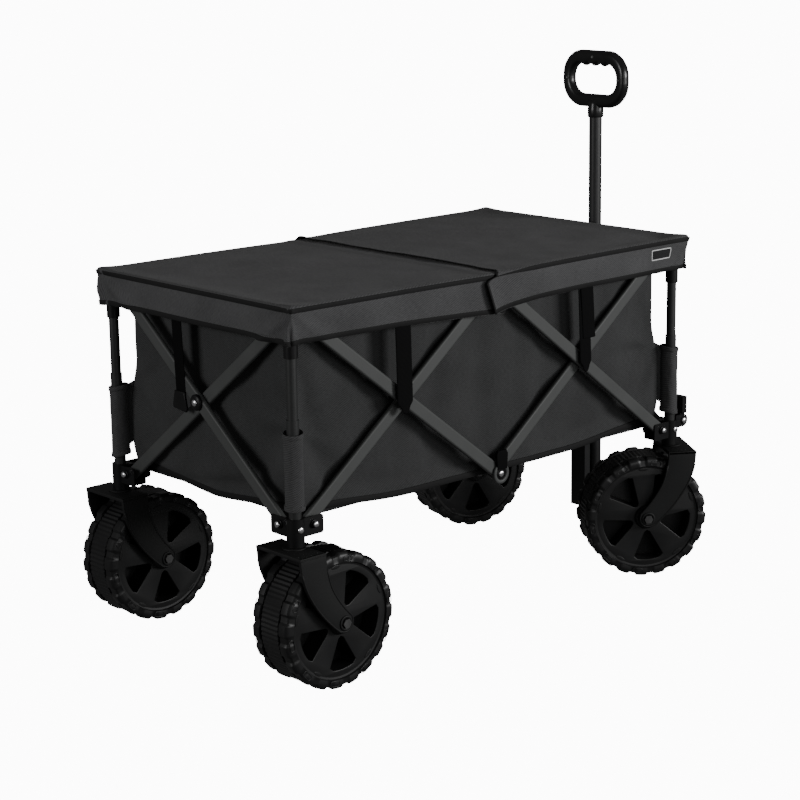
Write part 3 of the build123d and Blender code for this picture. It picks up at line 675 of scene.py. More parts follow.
class CoverHalf:
    """One half of the cover: top and three skirts as one sheet that hangs from the top's edge."""

    def __init__(self, name, lap_x, end, grow, seed):
        self.name, self.end, self.grow, self.seed = name, end, grow, seed
        self.lap_x = lap_x
        self.end_x = end * (COVER_HALF_X + grow)
        self.half_y = COVER_HALF_Y - 0.0024 + grow
        self.top_z = COVER_TOP + grow - 0.0006
        self.xs = spaced(lap_x, self.end_x, 0.009)
        self.ys = spaced(-self.half_y, self.half_y, 0.009)
        nx, ny = len(self.xs), len(self.ys)
        self.outline = ([(i, 0) for i in range(nx)] + [(nx - 1, j) for j in range(1, ny)]
                        + [(i, ny - 1) for i in range(nx - 2, -1, -1)])

    def top(self, x, y):
        """The cloth's height over the top: nearly flat, with soft waves and rounded edges."""
        side_edge, end_edge = self.half_y - abs(y), abs(self.end_x - x)
        edge = min(side_edge, end_edge)
        inside = smoothstep(0.0, 0.05, edge)
        z = self.top_z - EDGE_DROP * math.exp(-edge / 0.0022)
        z -= TOP_SAG * inside
        z += inside * TOP_WAVE * soft_noise(x * 5.2 + self.seed, y * 6.1)
        z += inside * 0.0009 * soft_noise(x * 17, y * 19 + self.seed)
        # Each outer corner stands up a little, with a shallow dip around it.
        corner = math.hypot(end_edge, side_edge)
        z += 0.0030 * hump(corner, 0.030)
        z -= 0.0022 * hump(corner - 0.055, 0.024) * inside
        # The long edges sink towards the lap.
        z -= 0.0045 * math.exp(-abs(x) / 0.17) * hump(side_edge, 0.045)
        if self.end < 0:
            # A long crease, and the ridge where this half runs up onto the other one's edge.
            z += 0.0012 * hump(y - 0.055 - 0.03 * math.sin(x * 7), 0.0035) * smoothstep(-0.44, -0.30, x)
            z += 0.0016 * hump(x + 0.045, 0.012)
        else:
            # The free edge lifts, most of all at its left end.
            z += 0.0014 * hump(x - self.lap_x, 0.012)
            z += 0.0030 * hump(x - self.lap_x, 0.016) * hump(y - self.half_y + 0.015, 0.018)
        return z

    def skirt(self, index, depth):
        """A point of the skirt below outline point index, in wagon coordinates, and its way out."""
        i, j = self.outline[index]
        x, y = self.xs[i], self.ys[j]
        share = depth / SKIRT
        side_run, end_run = self.half_y - abs(y), abs(self.end_x - x)
        from_lap = abs(x - self.lap_x)
        pinch = 0.0
        drop = depth + 0.0018 * share * soft_noise(x * 6, y * 6, 4.4 + self.seed)
        if max(side_run, end_run) < 1e-6:
            out = Vector((0.35 * self.end, math.copysign(1, y), 0))
            fold, wave = 0.0, 0.0
            taper = CORNER_TAPER * share - 0.0026 * math.exp(-depth / 0.018)
        elif index < len(self.xs) - 1 or index > len(self.outline) - len(self.xs):
            out = Vector((0, math.copysign(1, y), 0))
            taper = SIDE_TAPER * share**1.6
            fold = SIDE_FOLD * corner_folds(end_run, depth, self.seed + (2 if y > 0 else 0))
            wave = 0.0030 * share * soft_noise(x * 7.5 + self.seed, 3.1 * np.sign(y), depth * 6)
            wave += 0.0012 * share * soft_noise(x * 24, self.seed, depth * 12)
            lap = math.exp(-from_lap / 0.018)
            if self.end > 0:
                wave += LAP_BULGE * math.sin(math.pi * min(1, 0.12 + 0.62 * share)) * lap
            else:
                wave -= 0.0015 * share * lap
            near_lap = math.exp(-from_lap / (0.20 if self.end < 0 else 0.09))
            drop += (0.0130 * share + 0.0045) * near_lap * min(1, end_run / 0.10)
        else:
            out = Vector((self.end, 0, 0))
            taper = END_TAPER * share
            fold = END_FOLD * corner_folds(side_run, depth, self.seed + (1 if y > 0 else 0))
            fold = max(fold, -0.0012)
            wave = 0.0036 * share * soft_noise(y * 9 + self.seed, 8.2, depth * 7)
            wave += 0.0016 * share * soft_noise(y * 27, self.seed, depth * 15)
            pinch = 0.0020 * hump(side_run, 0.006) * smoothstep(0.004, 0.03, depth)
        shift_x = 0.0
        if self.end > 0 and from_lap < LAP_REACH:
            bow = (1 - from_lap / LAP_REACH)**1.5
            shift_x = -bow * (0.036 * smoothstep(0.0, 0.010, depth) - 0.033 * share**1.5)
        place = Vector((x + shift_x, y, self.top_z - EDGE_DROP - drop)) + out * (fold + wave - taper - pinch)
        return place, out

    def build(self):
        nx, ny = len(self.xs), len(self.ys)
        verts = [Vector((x, y, self.top(x, y))) for x in self.xs for y in self.ys]
        uvs = [(x, y) for x in self.xs for y in self.ys]
        faces = []
        for i in range(nx - 1):
            for j in range(ny - 1):
                quad = (i * ny + j, (i + 1) * ny + j, (i + 1) * ny + j + 1, i * ny + j + 1)
                faces.append(quad if self.end > 0 else tuple(reversed(quad)))
        count = len(self.outline)
        depths = [0.0025, 0.006, 0.012, 0.019, 0.027, 0.035, 0.043, 0.051, 0.058, 0.064, SKIRT - 0.003]
        previous = [i * ny + j for i, j in self.outline]
        for depth in depths:
            start = len(verts)
            for k in range(count):
                place, out = self.skirt(k, depth)
                verts.append(place)
                i, j = self.outline[k]
                x, y = self.xs[i], self.ys[j]
                if abs(out.y) > 0.9:
                    uvs.append((x, y + math.copysign(depth, y)))
                else:
                    uvs.append((x + self.end * depth, y))
            for k in range(count - 1):
                quad = (previous[k], start + k, start + k + 1, previous[k + 1])
                faces.append(quad if self.end > 0 else tuple(reversed(quad)))
            previous = list(range(start, start + count))
        cloth = add_object(self.name + "_cloth", [v + WAGON for v in verts], faces, COVER_CLOTH, uvs=uvs)
        thicken(cloth, 0.0016, subdivisions=1)
        return cloth

    def tape(self, name, depth, half_width):
        """A binding tape that follows the skirt at one depth."""
        path, across, up = [], [], []
        for k in range(len(self.outline)):
            place, out = self.skirt(k, depth)
            low, _ = self.skirt(k, depth + 0.004)
            high, _ = self.skirt(k, depth - 0.004 if depth > 0.004 else depth)
            slope = (low - high).normalized()
            side = (out.normalized() - slope * slope.dot(out.normalized())).normalized()
            path.append(place + side * TAPE_OUT + WAGON)
            across.append(slope)
            up.append(side)
        return sweep(name, path, across, up, half_width, TAPE_T, BINDING)


def stitches(path, outs):
    """A row of thread stitches along a path."""
    thick = STITCH_R
    verts, faces = [], []
    path = [Vector(p) for p in path]
    run = np.concatenate([[0], np.cumsum([(b - a).length for a, b in zip(path, path[1:])])])
    for s in np.arange(STITCH_PITCH / 2, run[-1], STITCH_PITCH):
        k = min(int(np.searchsorted(run, s)) - 1, len(path) - 2)
        t = (s - run[k]) / (run[k + 1] - run[k])
        place = path[k].lerp(path[k + 1], t)
        along = (path[k + 1] - path[k]).normalized()
        out = Vector(outs[k]).lerp(Vector(outs[k + 1]), t).normalized()
        side = along.cross(out)
        start = len(verts)
        for a, lift in ((-1, 0.0), (-0.6, 1.0), (0.6, 1.0), (1, 0.0)):
            base = place + along * (a * STITCH_LENGTH / 2)
            verts += [base + side * thick + out * lift * thick * 0.2,
                      base + out * thick * (0.3 + lift),
                      base - side * thick + out * lift * thick * 0.2]
        for row in range(3):
            for column in range(2):
                a = start + row * 3 + column
                faces.append((a, a + 3, a + 4, a + 1))
        faces += [(start, start + 1, start + 2), (start + 9, start + 11, start + 10)]
    return add_object("row", verts, faces, THREAD, uvs=[(v.x + v.z, v.y + v.z) for v in verts])


def lap_tape(half):
    """The dark tape on the front half's free edge, up one skirt, over the top and down the other."""
    path, across, up = [], [], []

    def down_the_skirt(index, depths):
        for depth in depths:
            place, out = half.skirt(index, float(depth))
            path.append(place + out * TAPE_OUT + WAGON)
            across.append(Vector((1, 0, 0)))
            up.append(out)

    depths = np.linspace(0.003, SKIRT - 0.004, 14)
    down_the_skirt(0, reversed(depths))
    for y in half.ys[2:-2]:
        path.append(Vector((half.lap_x, y, half.top(half.lap_x, y) + TAPE_OUT)) + WAGON)
        across.append(Vector((1, 0, 0)))
        up.append(Vector((0, 0, 1)))
    down_the_skirt(len(half.outline) - 1, depths)
    return sweep("front_cover_lap_tape", path, across, up, LAP_BINDING, TAPE_T, BINDING)


cover_halves = {"rear": CoverHalf("rear_cover", LAP_FRONT, -1, 0.0, 1.7),
                "front": CoverHalf("front_cover", LAP_REAR, 1, 0.0024, 4.3)}
for end_name, half in cover_halves.items():
    cloth = half.build()
    top_tape = half.tape(end_name + "_cover_edge_tape", 0.0040, TOP_BINDING)
    hem_tape = half.tape(end_name + "_cover_hem_tape", SKIRT - 0.003 - HEM_BINDING, HEM_BINDING)
    rows = []
    for depth in (0.0084, SKIRT - 0.0148):
        places = [half.skirt(k, depth) for k in range(len(half.outline))]
        rows.append(stitches([p + WAGON + o.normalized() * 0.0003 for p, o in places],
                             [o.normalized() for _, o in places]))
    if end_name == "front":
        for inset in (0.0045, 0.0105):
            column = int(np.argmin(abs(half.xs - (half.lap_x + inset))))
            x = half.lap_x + inset
            for index, sign in ((column, 1), (len(half.outline) - 1 - column, -1)):
                points, outs = [], []
                for depth in np.linspace(0.009, SKIRT - 0.015, 9):
                    p, o = half.skirt(index, depth)
                    points.append(p + Vector((wagon_x + x - half.xs[column], wagon_y, 0)) + o * 0.0004)
                    outs.append(o)
                rows.append(stitches(points, outs))
            ys = half.ys[3:-3]
            line = [Vector((x + wagon_x, y + wagon_y, half.top(x, y) + 0.0002)) for y in ys]
            rows.append(stitches(line, [Vector((0, 0, 1))] * len(ys)))
    thread = join(end_name + "_cover_stitches", rows)
    lap_pieces = [lap_tape(half)] if end_name == "front" else []
    for piece in [cloth, top_tape, hem_tape, thread] + lap_pieces:
        attach_to_cover(piece, end_name, "cover_fabric")
    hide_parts(end_name + "_cover")


# A blank woven patch on the right skirt, near its front corner.
PATCH_X, PATCH_Z, PATCH_HALF = (0.404, 0.458), 0.6665, 0.0096
half = cover_halves["front"]
depth_middle = half.top_z - PATCH_Z
patch_rows = []
for row in range(7):
    depth = depth_middle + PATCH_HALF * (row / 3 - 1)
    line = []
    for column in range(21):
        x = PATCH_X[0] + (PATCH_X[1] - PATCH_X[0]) * column / 20
        index = int(np.argmin(abs(half.xs - x)))
        a, out = half.skirt(index, depth)
        b, _ = half.skirt(index + 1 if half.xs[index] < x else index - 1, depth)
        share = (x - a.x) / (b.x - a.x) if abs(b.x - a.x) > 1e-6 else 0
        line.append(a.lerp(b, share) + out * 0.0009 + WAGON)
    patch_rows.append(line)
patch_verts = [v for line in patch_rows for v in line]
patch = add_object("patch_ground", patch_verts, grid_faces(7, 21), LINING,
                   uvs=[(v.x, v.z) for v in patch_verts])
thicken(patch, 0.0007, offset=0.0)
rim = patch_rows[0][:-1] + [line[-1] for line in patch_rows[:-1]]
rim += patch_rows[-1][:0:-1] + [line[0] for line in patch_rows[:0:-1]]
rim = [p + Vector((0, -0.0006, 0)) for p in rim]
border = sweep("patch_border", rim, loop_sides(rim, Vector((0, 1, 0))), [Vector((0, -1, 0))] * len(rim),
               0.0011, 0.0006, LABEL_EDGE, closed=True)
patch = join("front_cover_patch", [patch, border])
attach_to_cover(patch, "front", "cover_fabric")


# ---- bag -------------------------------------------------------------------------------------------
BAG_TOP, BAG_LOW = bag_high.z, bag_low.z
SLEEVE_LOW, SLEEVE_HIGH = 0.332, 0.466
BAG_PITCH = 0.0085
PANEL_SPARE = {"long": 1.007, "short": 1.010}
OUT_CAP, IN_CAP = 0.0065, 0.020
CREASE = 0.0042
SLACK_FRAMES = 26


def corner_pull(z):
    """How far the bag's corner edge is drawn towards the post at this height."""
    return 0.010 * (1 - smoothstep(0.43, 0.52, z)) * smoothstep(0.28, 0.36, z)


def hem_height(along, half_length):
    """The bag's bottom edge: level in the middle, rising to the corners."""
    rise = 0.016 * smoothstep(half_length - 0.26, half_length - 0.02, abs(along))
    return BAG_LOW + 0.002 + rise


def bag_panel(name, start, end, out, spare, seed):
    """One side of the bag as a hung, slightly slack sheet between two corners, in wagon coordinates."""
    start, end, out = Vector(start), Vector(end), Vector(out)
    length = (end - start).length
    direction = (end - start) / length
    columns = int(length / BAG_PITCH)
    rows = int((BAG_TOP - BAG_LOW) / BAG_PITCH)

    def point(i, j):
        s = j / columns
        along = (s - 0.5) * length
        z = BAG_TOP - (BAG_TOP - hem_height(along, length / 2)) * i / rows
        pull = corner_pull(z)
        ends = 2 * s - 1
        place = start.lerp(end, s) + direction * pull * math.copysign(abs(ends)**6, ends)
        place += out * pull * (0.85 * smoothstep(0.90, 1.0, abs(ends)))
        place += out * 0.0022 * soft_noise(along * 9 + seed, z * 9)
        return (place.x, place.y, z), (along, z)

    held = [i * (columns + 1) + j for i in range(rows + 1) for j in range(columns + 1)
            if i == 0 or j in (0, columns) or i >= rows - 1]
    inside_out = out.dot(direction.cross(Vector((0, 0, -1)))) < 0
    panel = sheet(name, rows + 1, columns + 1, point, BAG_CLOTH, flip=inside_out)
    rest = np.array([v.co for v in panel.data.vertices])
    slack_cloth(panel, held, spare)
    corner_creases(panel, out, length / 2, direction, seed)
    cap_sides(panel, rest, out)
    shift(panel, *WAGON)
    return panel


def corner_creases(panel, out, half_length, direction, seed):
    """Creases that fan out from where the post sleeves pull at the panel's two upright edges."""
    for vertex in panel.data.vertices:
        along = half_length - abs(vertex.co.dot(direction))
        height = vertex.co.z - SLEEVE_HIGH
        reach = math.hypot(along, height)
        turn = math.atan2(height, along + 0.01)
        side_seed = seed + (1.7 if vertex.co.dot(direction) > 0 else 0.0)
        wave = math.sin(5.5 * turn + side_seed) + 0.5 * math.sin(11 * turn + 2 * side_seed)
        vertex.co += out * CREASE * wave * hump(reach, 0.115) * smoothstep(0.0, 0.045, along)


def slack_cloth(panel, held, spare):
    """Let the panel buckle under its own weight, cut a little larger than the gap it fills."""
    group = panel.vertex_groups.new(name="held")
    group.add(held, 1.0, "REPLACE")
    cloth = panel.modifiers.new("cloth", "CLOTH")
    settings = cloth.settings
    settings.quality = 6
    settings.mass = 0.25
    settings.tension_stiffness = 30
    settings.compression_stiffness = 30
    settings.shear_stiffness = 12
    settings.bending_stiffness = 9
    settings.air_damping = 2.0
    settings.vertex_group_mass = "held"
    settings.shrink_min = -(spare - 1)
    cloth.collision_settings.use_collision = False
    cloth.collision_settings.use_self_collision = False
    scene = bpy.context.scene
    scene.frame_start, scene.frame_end = 1, SLACK_FRAMES
    cloth.point_cache.frame_start, cloth.point_cache.frame_end = 1, SLACK_FRAMES
    for frame_number in range(1, SLACK_FRAMES + 1):
        scene.frame_set(frame_number)
    apply_modifiers(panel)
    scene.frame_set(1)


def cap_sides(panel, rest, out):
    """Keep the slack inside the room between the bag's walls and the bars."""
    points = np.empty(len(panel.data.vertices) * 3)
    panel.data.vertices.foreach_get("co", points)
    points = points.reshape(-1, 3)
    normal = np.array(out)
    moved = (points - rest) @ normal
    limit = np.where(moved > 0, OUT_CAP, IN_CAP)
    capped = limit * np.tanh(moved / limit)
    points += np.outer(capped - moved, normal)
    panel.data.vertices.foreach_set("co", points.ravel())
    panel.data.update()


bx, by = BAG_HALF_X, BAG_HALF_Y
panels = {
    "left": ((-bx, by, 0), (bx, by, 0), (0, 1, 0), "long", "rear_left_corner", "X", ("bag_left_and_rear",)),
    "right": ((-bx, -by, 0), (bx, -by, 0), (0, -1, 0), "long", "rear_right_corner", "X", ("bag_right",)),
    "rear": ((-bx, -by, 0), (-bx, by, 0), (-1, 0, 0), "short", "rear_left_corner", "Y", ()),
    "front": ((bx, -by, 0), (bx, by, 0), (1, 0, 0), "short", "front_left_corner", "Y", ("bag_front",)),
}
for number, (side_name, (start, end, out, kind, body, axis, nodes)) in enumerate(panels.items()):
    panel = bag_panel("bag_" + side_name + "_panel", start, end, out, PANEL_SPARE[kind], 3.7 * number)
    length = (Vector(end) - Vector(start)).length
    columns = int(length / BAG_PITCH) + 1
    out = Vector(out)
    hem_path = [v.co + out * 0.0012 + Vector((0, 0, 0.004)) for v in panel.data.vertices[-columns:]]
    hem_tape = sweep("bag_" + side_name + "_hem_tape", hem_path, [Vector((0, 0, 1))] * len(hem_path),
                     [out] * len(hem_path), 0.0060, 0.0014, BINDING)
    thicken(panel, 0.0014, subdivisions=1)
    for piece in (panel, hem_tape):
        attach(piece, body, "bag_fabric")
        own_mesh(piece)
    if nodes:
        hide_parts(*nodes)

FLOOR_POINTS, FLOOR_T = 42, 0.0052
for end_name in ("rear", "front"):
    low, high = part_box("bag_floor_" + end_name)
    xs = np.linspace(low.x, high.x, FLOOR_POINTS)
    ys = np.linspace(low.y, high.y, FLOOR_POINTS)

    def floor_point(i, j):
        x, y = xs[i], ys[j]
        edge = min(x - low.x, high.x - x, y - low.y, high.y - y)
        z = high.z - 0.0012 - 0.0012 * soft_noise(x * 8, y * 8) - 0.002 * math.exp(-edge / 0.006)
        return (x, y, z), (x, y)

    floor = sheet("bag_floor_" + end_name + "_look", FLOOR_POINTS, FLOOR_POINTS, floor_point, LINING,
                  flip=True)
    thicken(floor, FLOOR_T, offset=1.0)
    attach(floor, "floor_" + end_name, "bag_fabric", "bag_floor_" + end_name)
    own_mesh(floor)


# ---- sleeves and gussets that tie the bag to the posts ----------------------------------------------
POST_R = (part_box("rear_left_lower_post")[1].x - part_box("rear_left_lower_post")[0].x) / 2
SLEEVE_ROWS, SLEEVE_STEPS = 16, 32
SLEEVE_POCKET, SLEEVE_SLANT = 0.006, 0.003       # how far the sleeve stands off towards the bag
GUSSET_ROWS, GUSSET_COLUMNS = 24, 8
GUSSET_LOW, GUSSET_HIGH = 0.356, 0.476           # its edge on the bag


def sleeve_place(post, inward, tangent, angle, clearance, z, ripple=0.0):
    """A point of the sleeve round a post, and its radius; angle 0 is towards the bag."""
    radius = POST_R + clearance + SLEEVE_POCKET * max(0, math.cos(angle))**3 + ripple
    spread = 1 + 0.18 * abs(math.sin(angle))
    place = post + inward * radius * math.cos(angle) + tangent * radius * math.sin(angle) * spread
    return place + Vector((0, 0, z + SLEEVE_SLANT * math.cos(angle))), radius


for corner, (end, side) in CORNERS.items():
    post = Vector((posts[corner].x, posts[corner].y, 0))
    inward = Vector((-end, -side, 0)).normalized()
    tangent = Vector((-inward.y, inward.x, 0))
    angles = [2 * math.pi * k / SLEEVE_STEPS for k in range(SLEEVE_STEPS)]

    def sleeve_point(i, j):
        z = SLEEVE_LOW + (SLEEVE_HIGH - SLEEVE_LOW) * i / SLEEVE_ROWS
        angle = angles[j]
        ripple = 0.0009 * soft_noise(math.cos(angle) * 2 + end, math.sin(angle) * 2 + side, z * 40)
        place, radius = sleeve_place(post, inward, tangent, angle, 0.0022, z, ripple)
        return place, (angle * radius, z)

    sleeve = sheet(corner + "_sleeve", SLEEVE_ROWS + 1, SLEEVE_STEPS, sleeve_point, SLEEVE_CLOTH, wrap=True)
    thicken(sleeve, 0.0014, subdivisions=1, offset=1.0)
    rings = []
    for z in (SLEEVE_LOW + 0.003, SLEEVE_HIGH - 0.003):
        path = [sleeve_place(post, inward, tangent, angle, 0.0040, z)[0] for angle in angles]
        up = [inward * math.cos(angle) + tangent * math.sin(angle) for angle in angles]
        rings.append(sweep("ring", path, [Vector((0, 0, 1))] * SLEEVE_STEPS, up, 0.0042, 0.0010,
                           SLEEVE_CLOTH, closed=True))
    trim = join(corner + "_sleeve_trim", rings)
    bag_corner = Vector((wagon_x + end * bx, wagon_y + side * by, 0))

    def gusset_point(i, j):
        t, u = i / GUSSET_ROWS, j / GUSSET_COLUMNS
        z_post = SLEEVE_LOW + 0.012 + (SLEEVE_HIGH - SLEEVE_LOW - 0.016) * t
        z_bag = GUSSET_LOW + (GUSSET_HIGH - GUSSET_LOW) * t
        z = z_post + (z_bag - z_post) * (1 - u)
        pull = corner_pull(z) * 0.9
        near = bag_corner + Vector((end * pull, side * pull * 0.9, 0))
        place = near.lerp(post + inward * (POST_R - 0.002), u)
        place += tangent * 0.0025 * math.sin(math.pi * u) * soft_noise(z * 22, end * 3.0, side)
        return (place.x, place.y, z), (u * 0.04, z)

    gusset = sheet(corner + "_gusset", GUSSET_ROWS + 1, GUSSET_COLUMNS + 1, gusset_point, BAG_CLOTH)
    thicken(gusset, 0.0016, subdivisions=1)
    for piece in (sleeve, trim, gusset):
        attach(piece, corner + "_corner", "bag_fabric")


# ---- straps ----------------------------------------------------------------------------------------
BARS_REACH = 0.038                               # from the bag to just outside the rivets of the long side
STRAP_TOP = HEM_Z + 0.004
STRAP_LOW = LOW_PIVOT_Z + 0.158
STRAP_ROWS, STRAP_COLUMNS = 34, 6
STRAP_T, STRAP_TIP = 0.0017, 0.010               # thickness, and how far the tip is rounded
TAIL_LOW = LOW_PIVOT_Z + 0.225                   # where the front straps' short upper layer ends


def hanging_strap(x, side, top, low, half_width, tip, lean):
    """A strap on a long side from the hem down to a tip that tapers over the last part."""
    surface = wagon_y + side * (COVER_HALF_Y - 0.0095)
    bars_front = wagon_y + side * (BAG_HALF_Y + BARS_REACH)

    def point(i, j):
        t, u = i / STRAP_ROWS, 2 * j / STRAP_COLUMNS - 1
        z = top - (top - low) * t
        y = surface + (bars_front - surface) * smoothstep(0.0, 1.0, t)
        width = half_width * (1 - 0.45 * smoothstep(0.86, 1.0, t)) if tip else half_width
        drop = tip * u * u * smoothstep(0.85, 1.0, t)
        bulge = side * 0.0006 * (1 - u * u)
        return (x + lean * t + u * width, y + bulge, z + drop), (z, u * width)

    strap = sheet("strap", STRAP_ROWS + 1, STRAP_COLUMNS + 1, point, STRAP, flip=side < 0)
    return thicken(strap, STRAP_T, subdivisions=1)


# End, half width, place along X from the crossing, and how far the tip leans forward.
STRAPS = (("rear", 0.0190, -0.020, 0.006), ("front", 0.0160, -0.011, 0.010))
for end_name, half_width, shift_x, lean in STRAPS:
    x = joint_place("left_" + end_name + "_crossing").x + shift_x
    parts = []
    for side in (1, -1):
        parts.append(hanging_strap(x, side, STRAP_TOP, STRAP_LOW, half_width, STRAP_TIP, lean))
        if end_name == "front":
            tail = hanging_strap(x + 0.006, side, STRAP_TOP - 0.001, TAIL_LOW, half_width * 1.1, 0.0, 0.010)
            shift(tail, 0, side * 0.0022, 0)
            parts.append(tail)
    straps = join(end_name + "_side_straps_look", parts)
    attach_to_cover(straps, end_name, "webbing", end_name + "_cover_straps")

# The strap on the rear end, and the plastic foot it ends in.
END_STRAP_ROWS, END_STRAP_Y, END_STRAP_LEAN = 20, 0.053, 0.006
crossing = joint_place("rear_end_crossing")
hem_x, foot_x = rear_cover_low.x + 0.0085, crossing.x - 0.0110
path = []
for t in np.linspace(0, 1, END_STRAP_ROWS):
    path.append(Vector((hem_x + (foot_x - hem_x) * smoothstep(0.0, 1.0, t),
                        crossing.y + END_STRAP_Y - END_STRAP_LEAN * t,
                        STRAP_TOP - (STRAP_TOP - crossing.z - 0.004) * t)))
end_strap = sweep("rear_end_strap", path, [Vector((0, 1, 0))] * len(path), [Vector((-1, 0, 0))] * len(path),
                  0.0140, 0.0011, STRAP)
foot_loop = [(-0.014, 0.020), (-0.021, -0.012), (-0.017, -0.017), (0.019, -0.013), (0.021, -0.008),
             (0.014, 0.020)]
foot = flat_shape("rear_end_strap_foot", [foot_loop], 0.005, 0.0014, BRACKET, plane="YZ")
shift(foot, crossing.x - 0.0145, crossing.y + END_STRAP_Y - 0.007, crossing.z - 0.006)
for piece in (end_strap, foot):
    attach_to_cover(piece, "rear", "webbing")


# ---- fasteners, collars and the knuckle above each middle pivot --------------------------------------
def dome(name, radius, height):
    profile = [(radius, 0.0), (radius, height * 0.25)]
    profile += [(radius * math.cos(t), height * (0.25 + 0.75 * math.sin(t)))
                for t in np.linspace(0.25, 1.5, 7)]
    return lathe(name, profile, BOLT_STEEL, steps=32)


def placed(obj, place, towards):
    turn = Vector((0, 0, 1)).rotation_difference(Vector(towards)).to_matrix().to_4x4()
    obj.matrix_world = Matrix.Translation(place) @ turn
    return obj


RIVET_R, RIVET_H, RIVET_SINK = 0.0062, 0.0042, 0.0014
LUG_PIVOT_X, LUG_PIVOT_Z, LUG_FACE = 0.029, 0.310, 0.0138
LUG_RIVET_R, LUG_RIVET_H = 0.0066, 0.0040
BRACKET_REACH = posts["rear_left"].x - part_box("rear_left_lower_bracket")[0].x
for corner, (end, side) in CORNERS.items():
    low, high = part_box(corner + "_lower_bracket")
    post = posts[corner]
    out_y = high.y if side > 0 else low.y
    out_x = post.x + end * BRACKET_REACH
    pivot_x = joint_place("left_rear_top" if end < 0 else "left_front_top").x
    pivot_y = joint_place("rear_end_foot" if side > 0 else "rear_end_outer_foot").y
    outward = (0, side, 0)
    rivets = [(RIVET_R, RIVET_H, (pivot_x, out_y - side * RIVET_SINK, LOW_PIVOT_Z), outward),
              (RIVET_R, RIVET_H, (out_x - end * RIVET_SINK, pivot_y, LOW_PIVOT_Z), (end, 0, 0)),
              (RIVET_R, 0.0030, (post.x + end * 0.0005, post.y + side * 0.0155, low.z + 0.031), outward)]
    if end > 0:
        lug_pivot = (post.x + LUG_PIVOT_X, post.y + side * LUG_FACE, LUG_PIVOT_Z)
        rivets.append((LUG_RIVET_R, LUG_RIVET_H, lug_pivot, outward))
    heads = [placed(dome("head", radius, height), place, way) for radius, height, place, way in rivets]
    attach(join(corner + "_lower_rivet_heads", heads), corner + "_corner", "bolt_steel")

for side_name, side in SIDES.items():
    pivot = joint_place(side_name + "_top_middle")
    outer_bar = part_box(side_name + "_side_rear_outer_bar")
    out_y = outer_bar[1].y if side > 0 else outer_bar[0].y
    loop = [(-0.013, -0.018), (0.013, -0.018), (0.015, 0.012), (0.011, 0.019), (-0.011, 0.019),
            (-0.015, 0.012)]
    knuckle = flat_shape("knuckle", [loop], 0.006, 0.0016, STRAP)
    shift(knuckle, pivot.x + 0.001, out_y + side * 0.0034, LOW_PIVOT_Z + 0.026)
    cup = lathe("cup", [(0.0, -0.002), (0.0200, -0.002), (0.0200, 0.0040), (0.0186, 0.0054), (0.0140, 0.0054),
                        (0.0122, 0.0040), (0.0122, 0.0030)], BAR_PAINT)
    well = lathe("well", [(0.0125, 0.0024), (0.0125, 0.0031), (0.0, 0.0031)], BRACKET)
    head = dome("head", 0.0064, 0.0040)
    shift(head, 0, 0, 0.0030)
    pivot_cup = join("cup", [cup, well, head])
    placed(pivot_cup, (pivot.x, out_y, LOW_PIVOT_Z), (0, side, 0))
    pivot_look = join(side_name + "_middle_knuckle", [knuckle, pivot_cup])
    attach(pivot_look, side_name + "_rear_outer_bar", "bracket_plastic")

bar_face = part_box("rear_end_outer_bar")[0].x
collar = lathe("rear_end_collar", [(0.0, 0.0), (0.0150, 0.0), (0.0150, 0.004), (0.0130, 0.0062),
                                   (0.0, 0.0062)], BRACKET)
placed(collar, (bar_face - 0.0002, crossing.y, crossing.z), (-1, 0, 0))
attach(collar, "rear_end_outer", "bracket_plastic")
bolt = placed(dome("rear_end_bolt_head", 0.0064, 0.0040), (bar_face - 0.0062, crossing.y, crossing.z),
              (-1, 0, 0))
attach(bolt, "rear_end_outer", "bolt_steel")


# ---- handle grip -----------------------------------------------------------------------------------
grip_low, grip_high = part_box("handle_grip")
hx, hy = (grip_low.x + grip_high.x) / 2, (grip_low.y + grip_high.y) / 2
RING_LOW = 0.925
HALF_W, HALF_H = (grip_high.y - grip_low.y) / 2, (grip_high.z - RING_LOW) / 2
ring_z = (grip_high.z + RING_LOW) / 2
SECTION = 20
FINGER_PITCH, FINGER_DEPTH = 0.0255, 0.0052
outer_loop = rounded_loop(HALF_W, HALF_H, 0.052, steps=14, straight=40)
inner_loop = rounded_loop(HALF_W - 0.0250, HALF_H - 0.0275, 0.0290, steps=14, straight=40)


def finger_bump(y, z):
    """How far the three bumps between the fingers reach down from the hole's upper edge."""
    if z < 0.015 or abs(y) > 1.5 * FINGER_PITCH:
        return 0.0
    return FINGER_DEPTH * (0.5 + 0.5 * math.cos(2 * math.pi * y / FINGER_PITCH))


inner_loop = [(y, z - finger_bump(y, z)) for y, z in inner_loop]
verts = []
half_t = 0.0115          # half the ring's thickness
for (oy, oz), (iy, iz) in zip(outer_loop, inner_loop):
    for k in range(SECTION):
        angle = 2 * math.pi * k / SECTION
        cu = math.copysign(abs(math.cos(angle))**0.75, math.cos(angle))
        cv = math.copysign(abs(math.sin(angle))**0.75, math.sin(angle))
        share = 0.5 - 0.5 * cu
        verts.append((half_t * cv, oy + (iy - oy) * share, oz + (iz - oz) * share))
count = len(outer_loop)
faces = grid_faces(count, SECTION, wrap=True)
last = (count - 1) * SECTION
faces += [(last + k, last + (k + 1) % SECTION, (k + 1) % SECTION, k) for k in range(SECTION)]
ring = add_object("ring", verts, faces, GRIP_PLASTIC)
shift(ring, hx, hy, ring_z)
neck = lathe("neck", [(0.0158, 0.0), (0.0165, 0.002), (0.0165, 0.018), (0.0150, 0.026), (0.0150, 0.036)],
             GRIP_PLASTIC)
shift(neck, hx, hy, grip_low.z)
screws = []
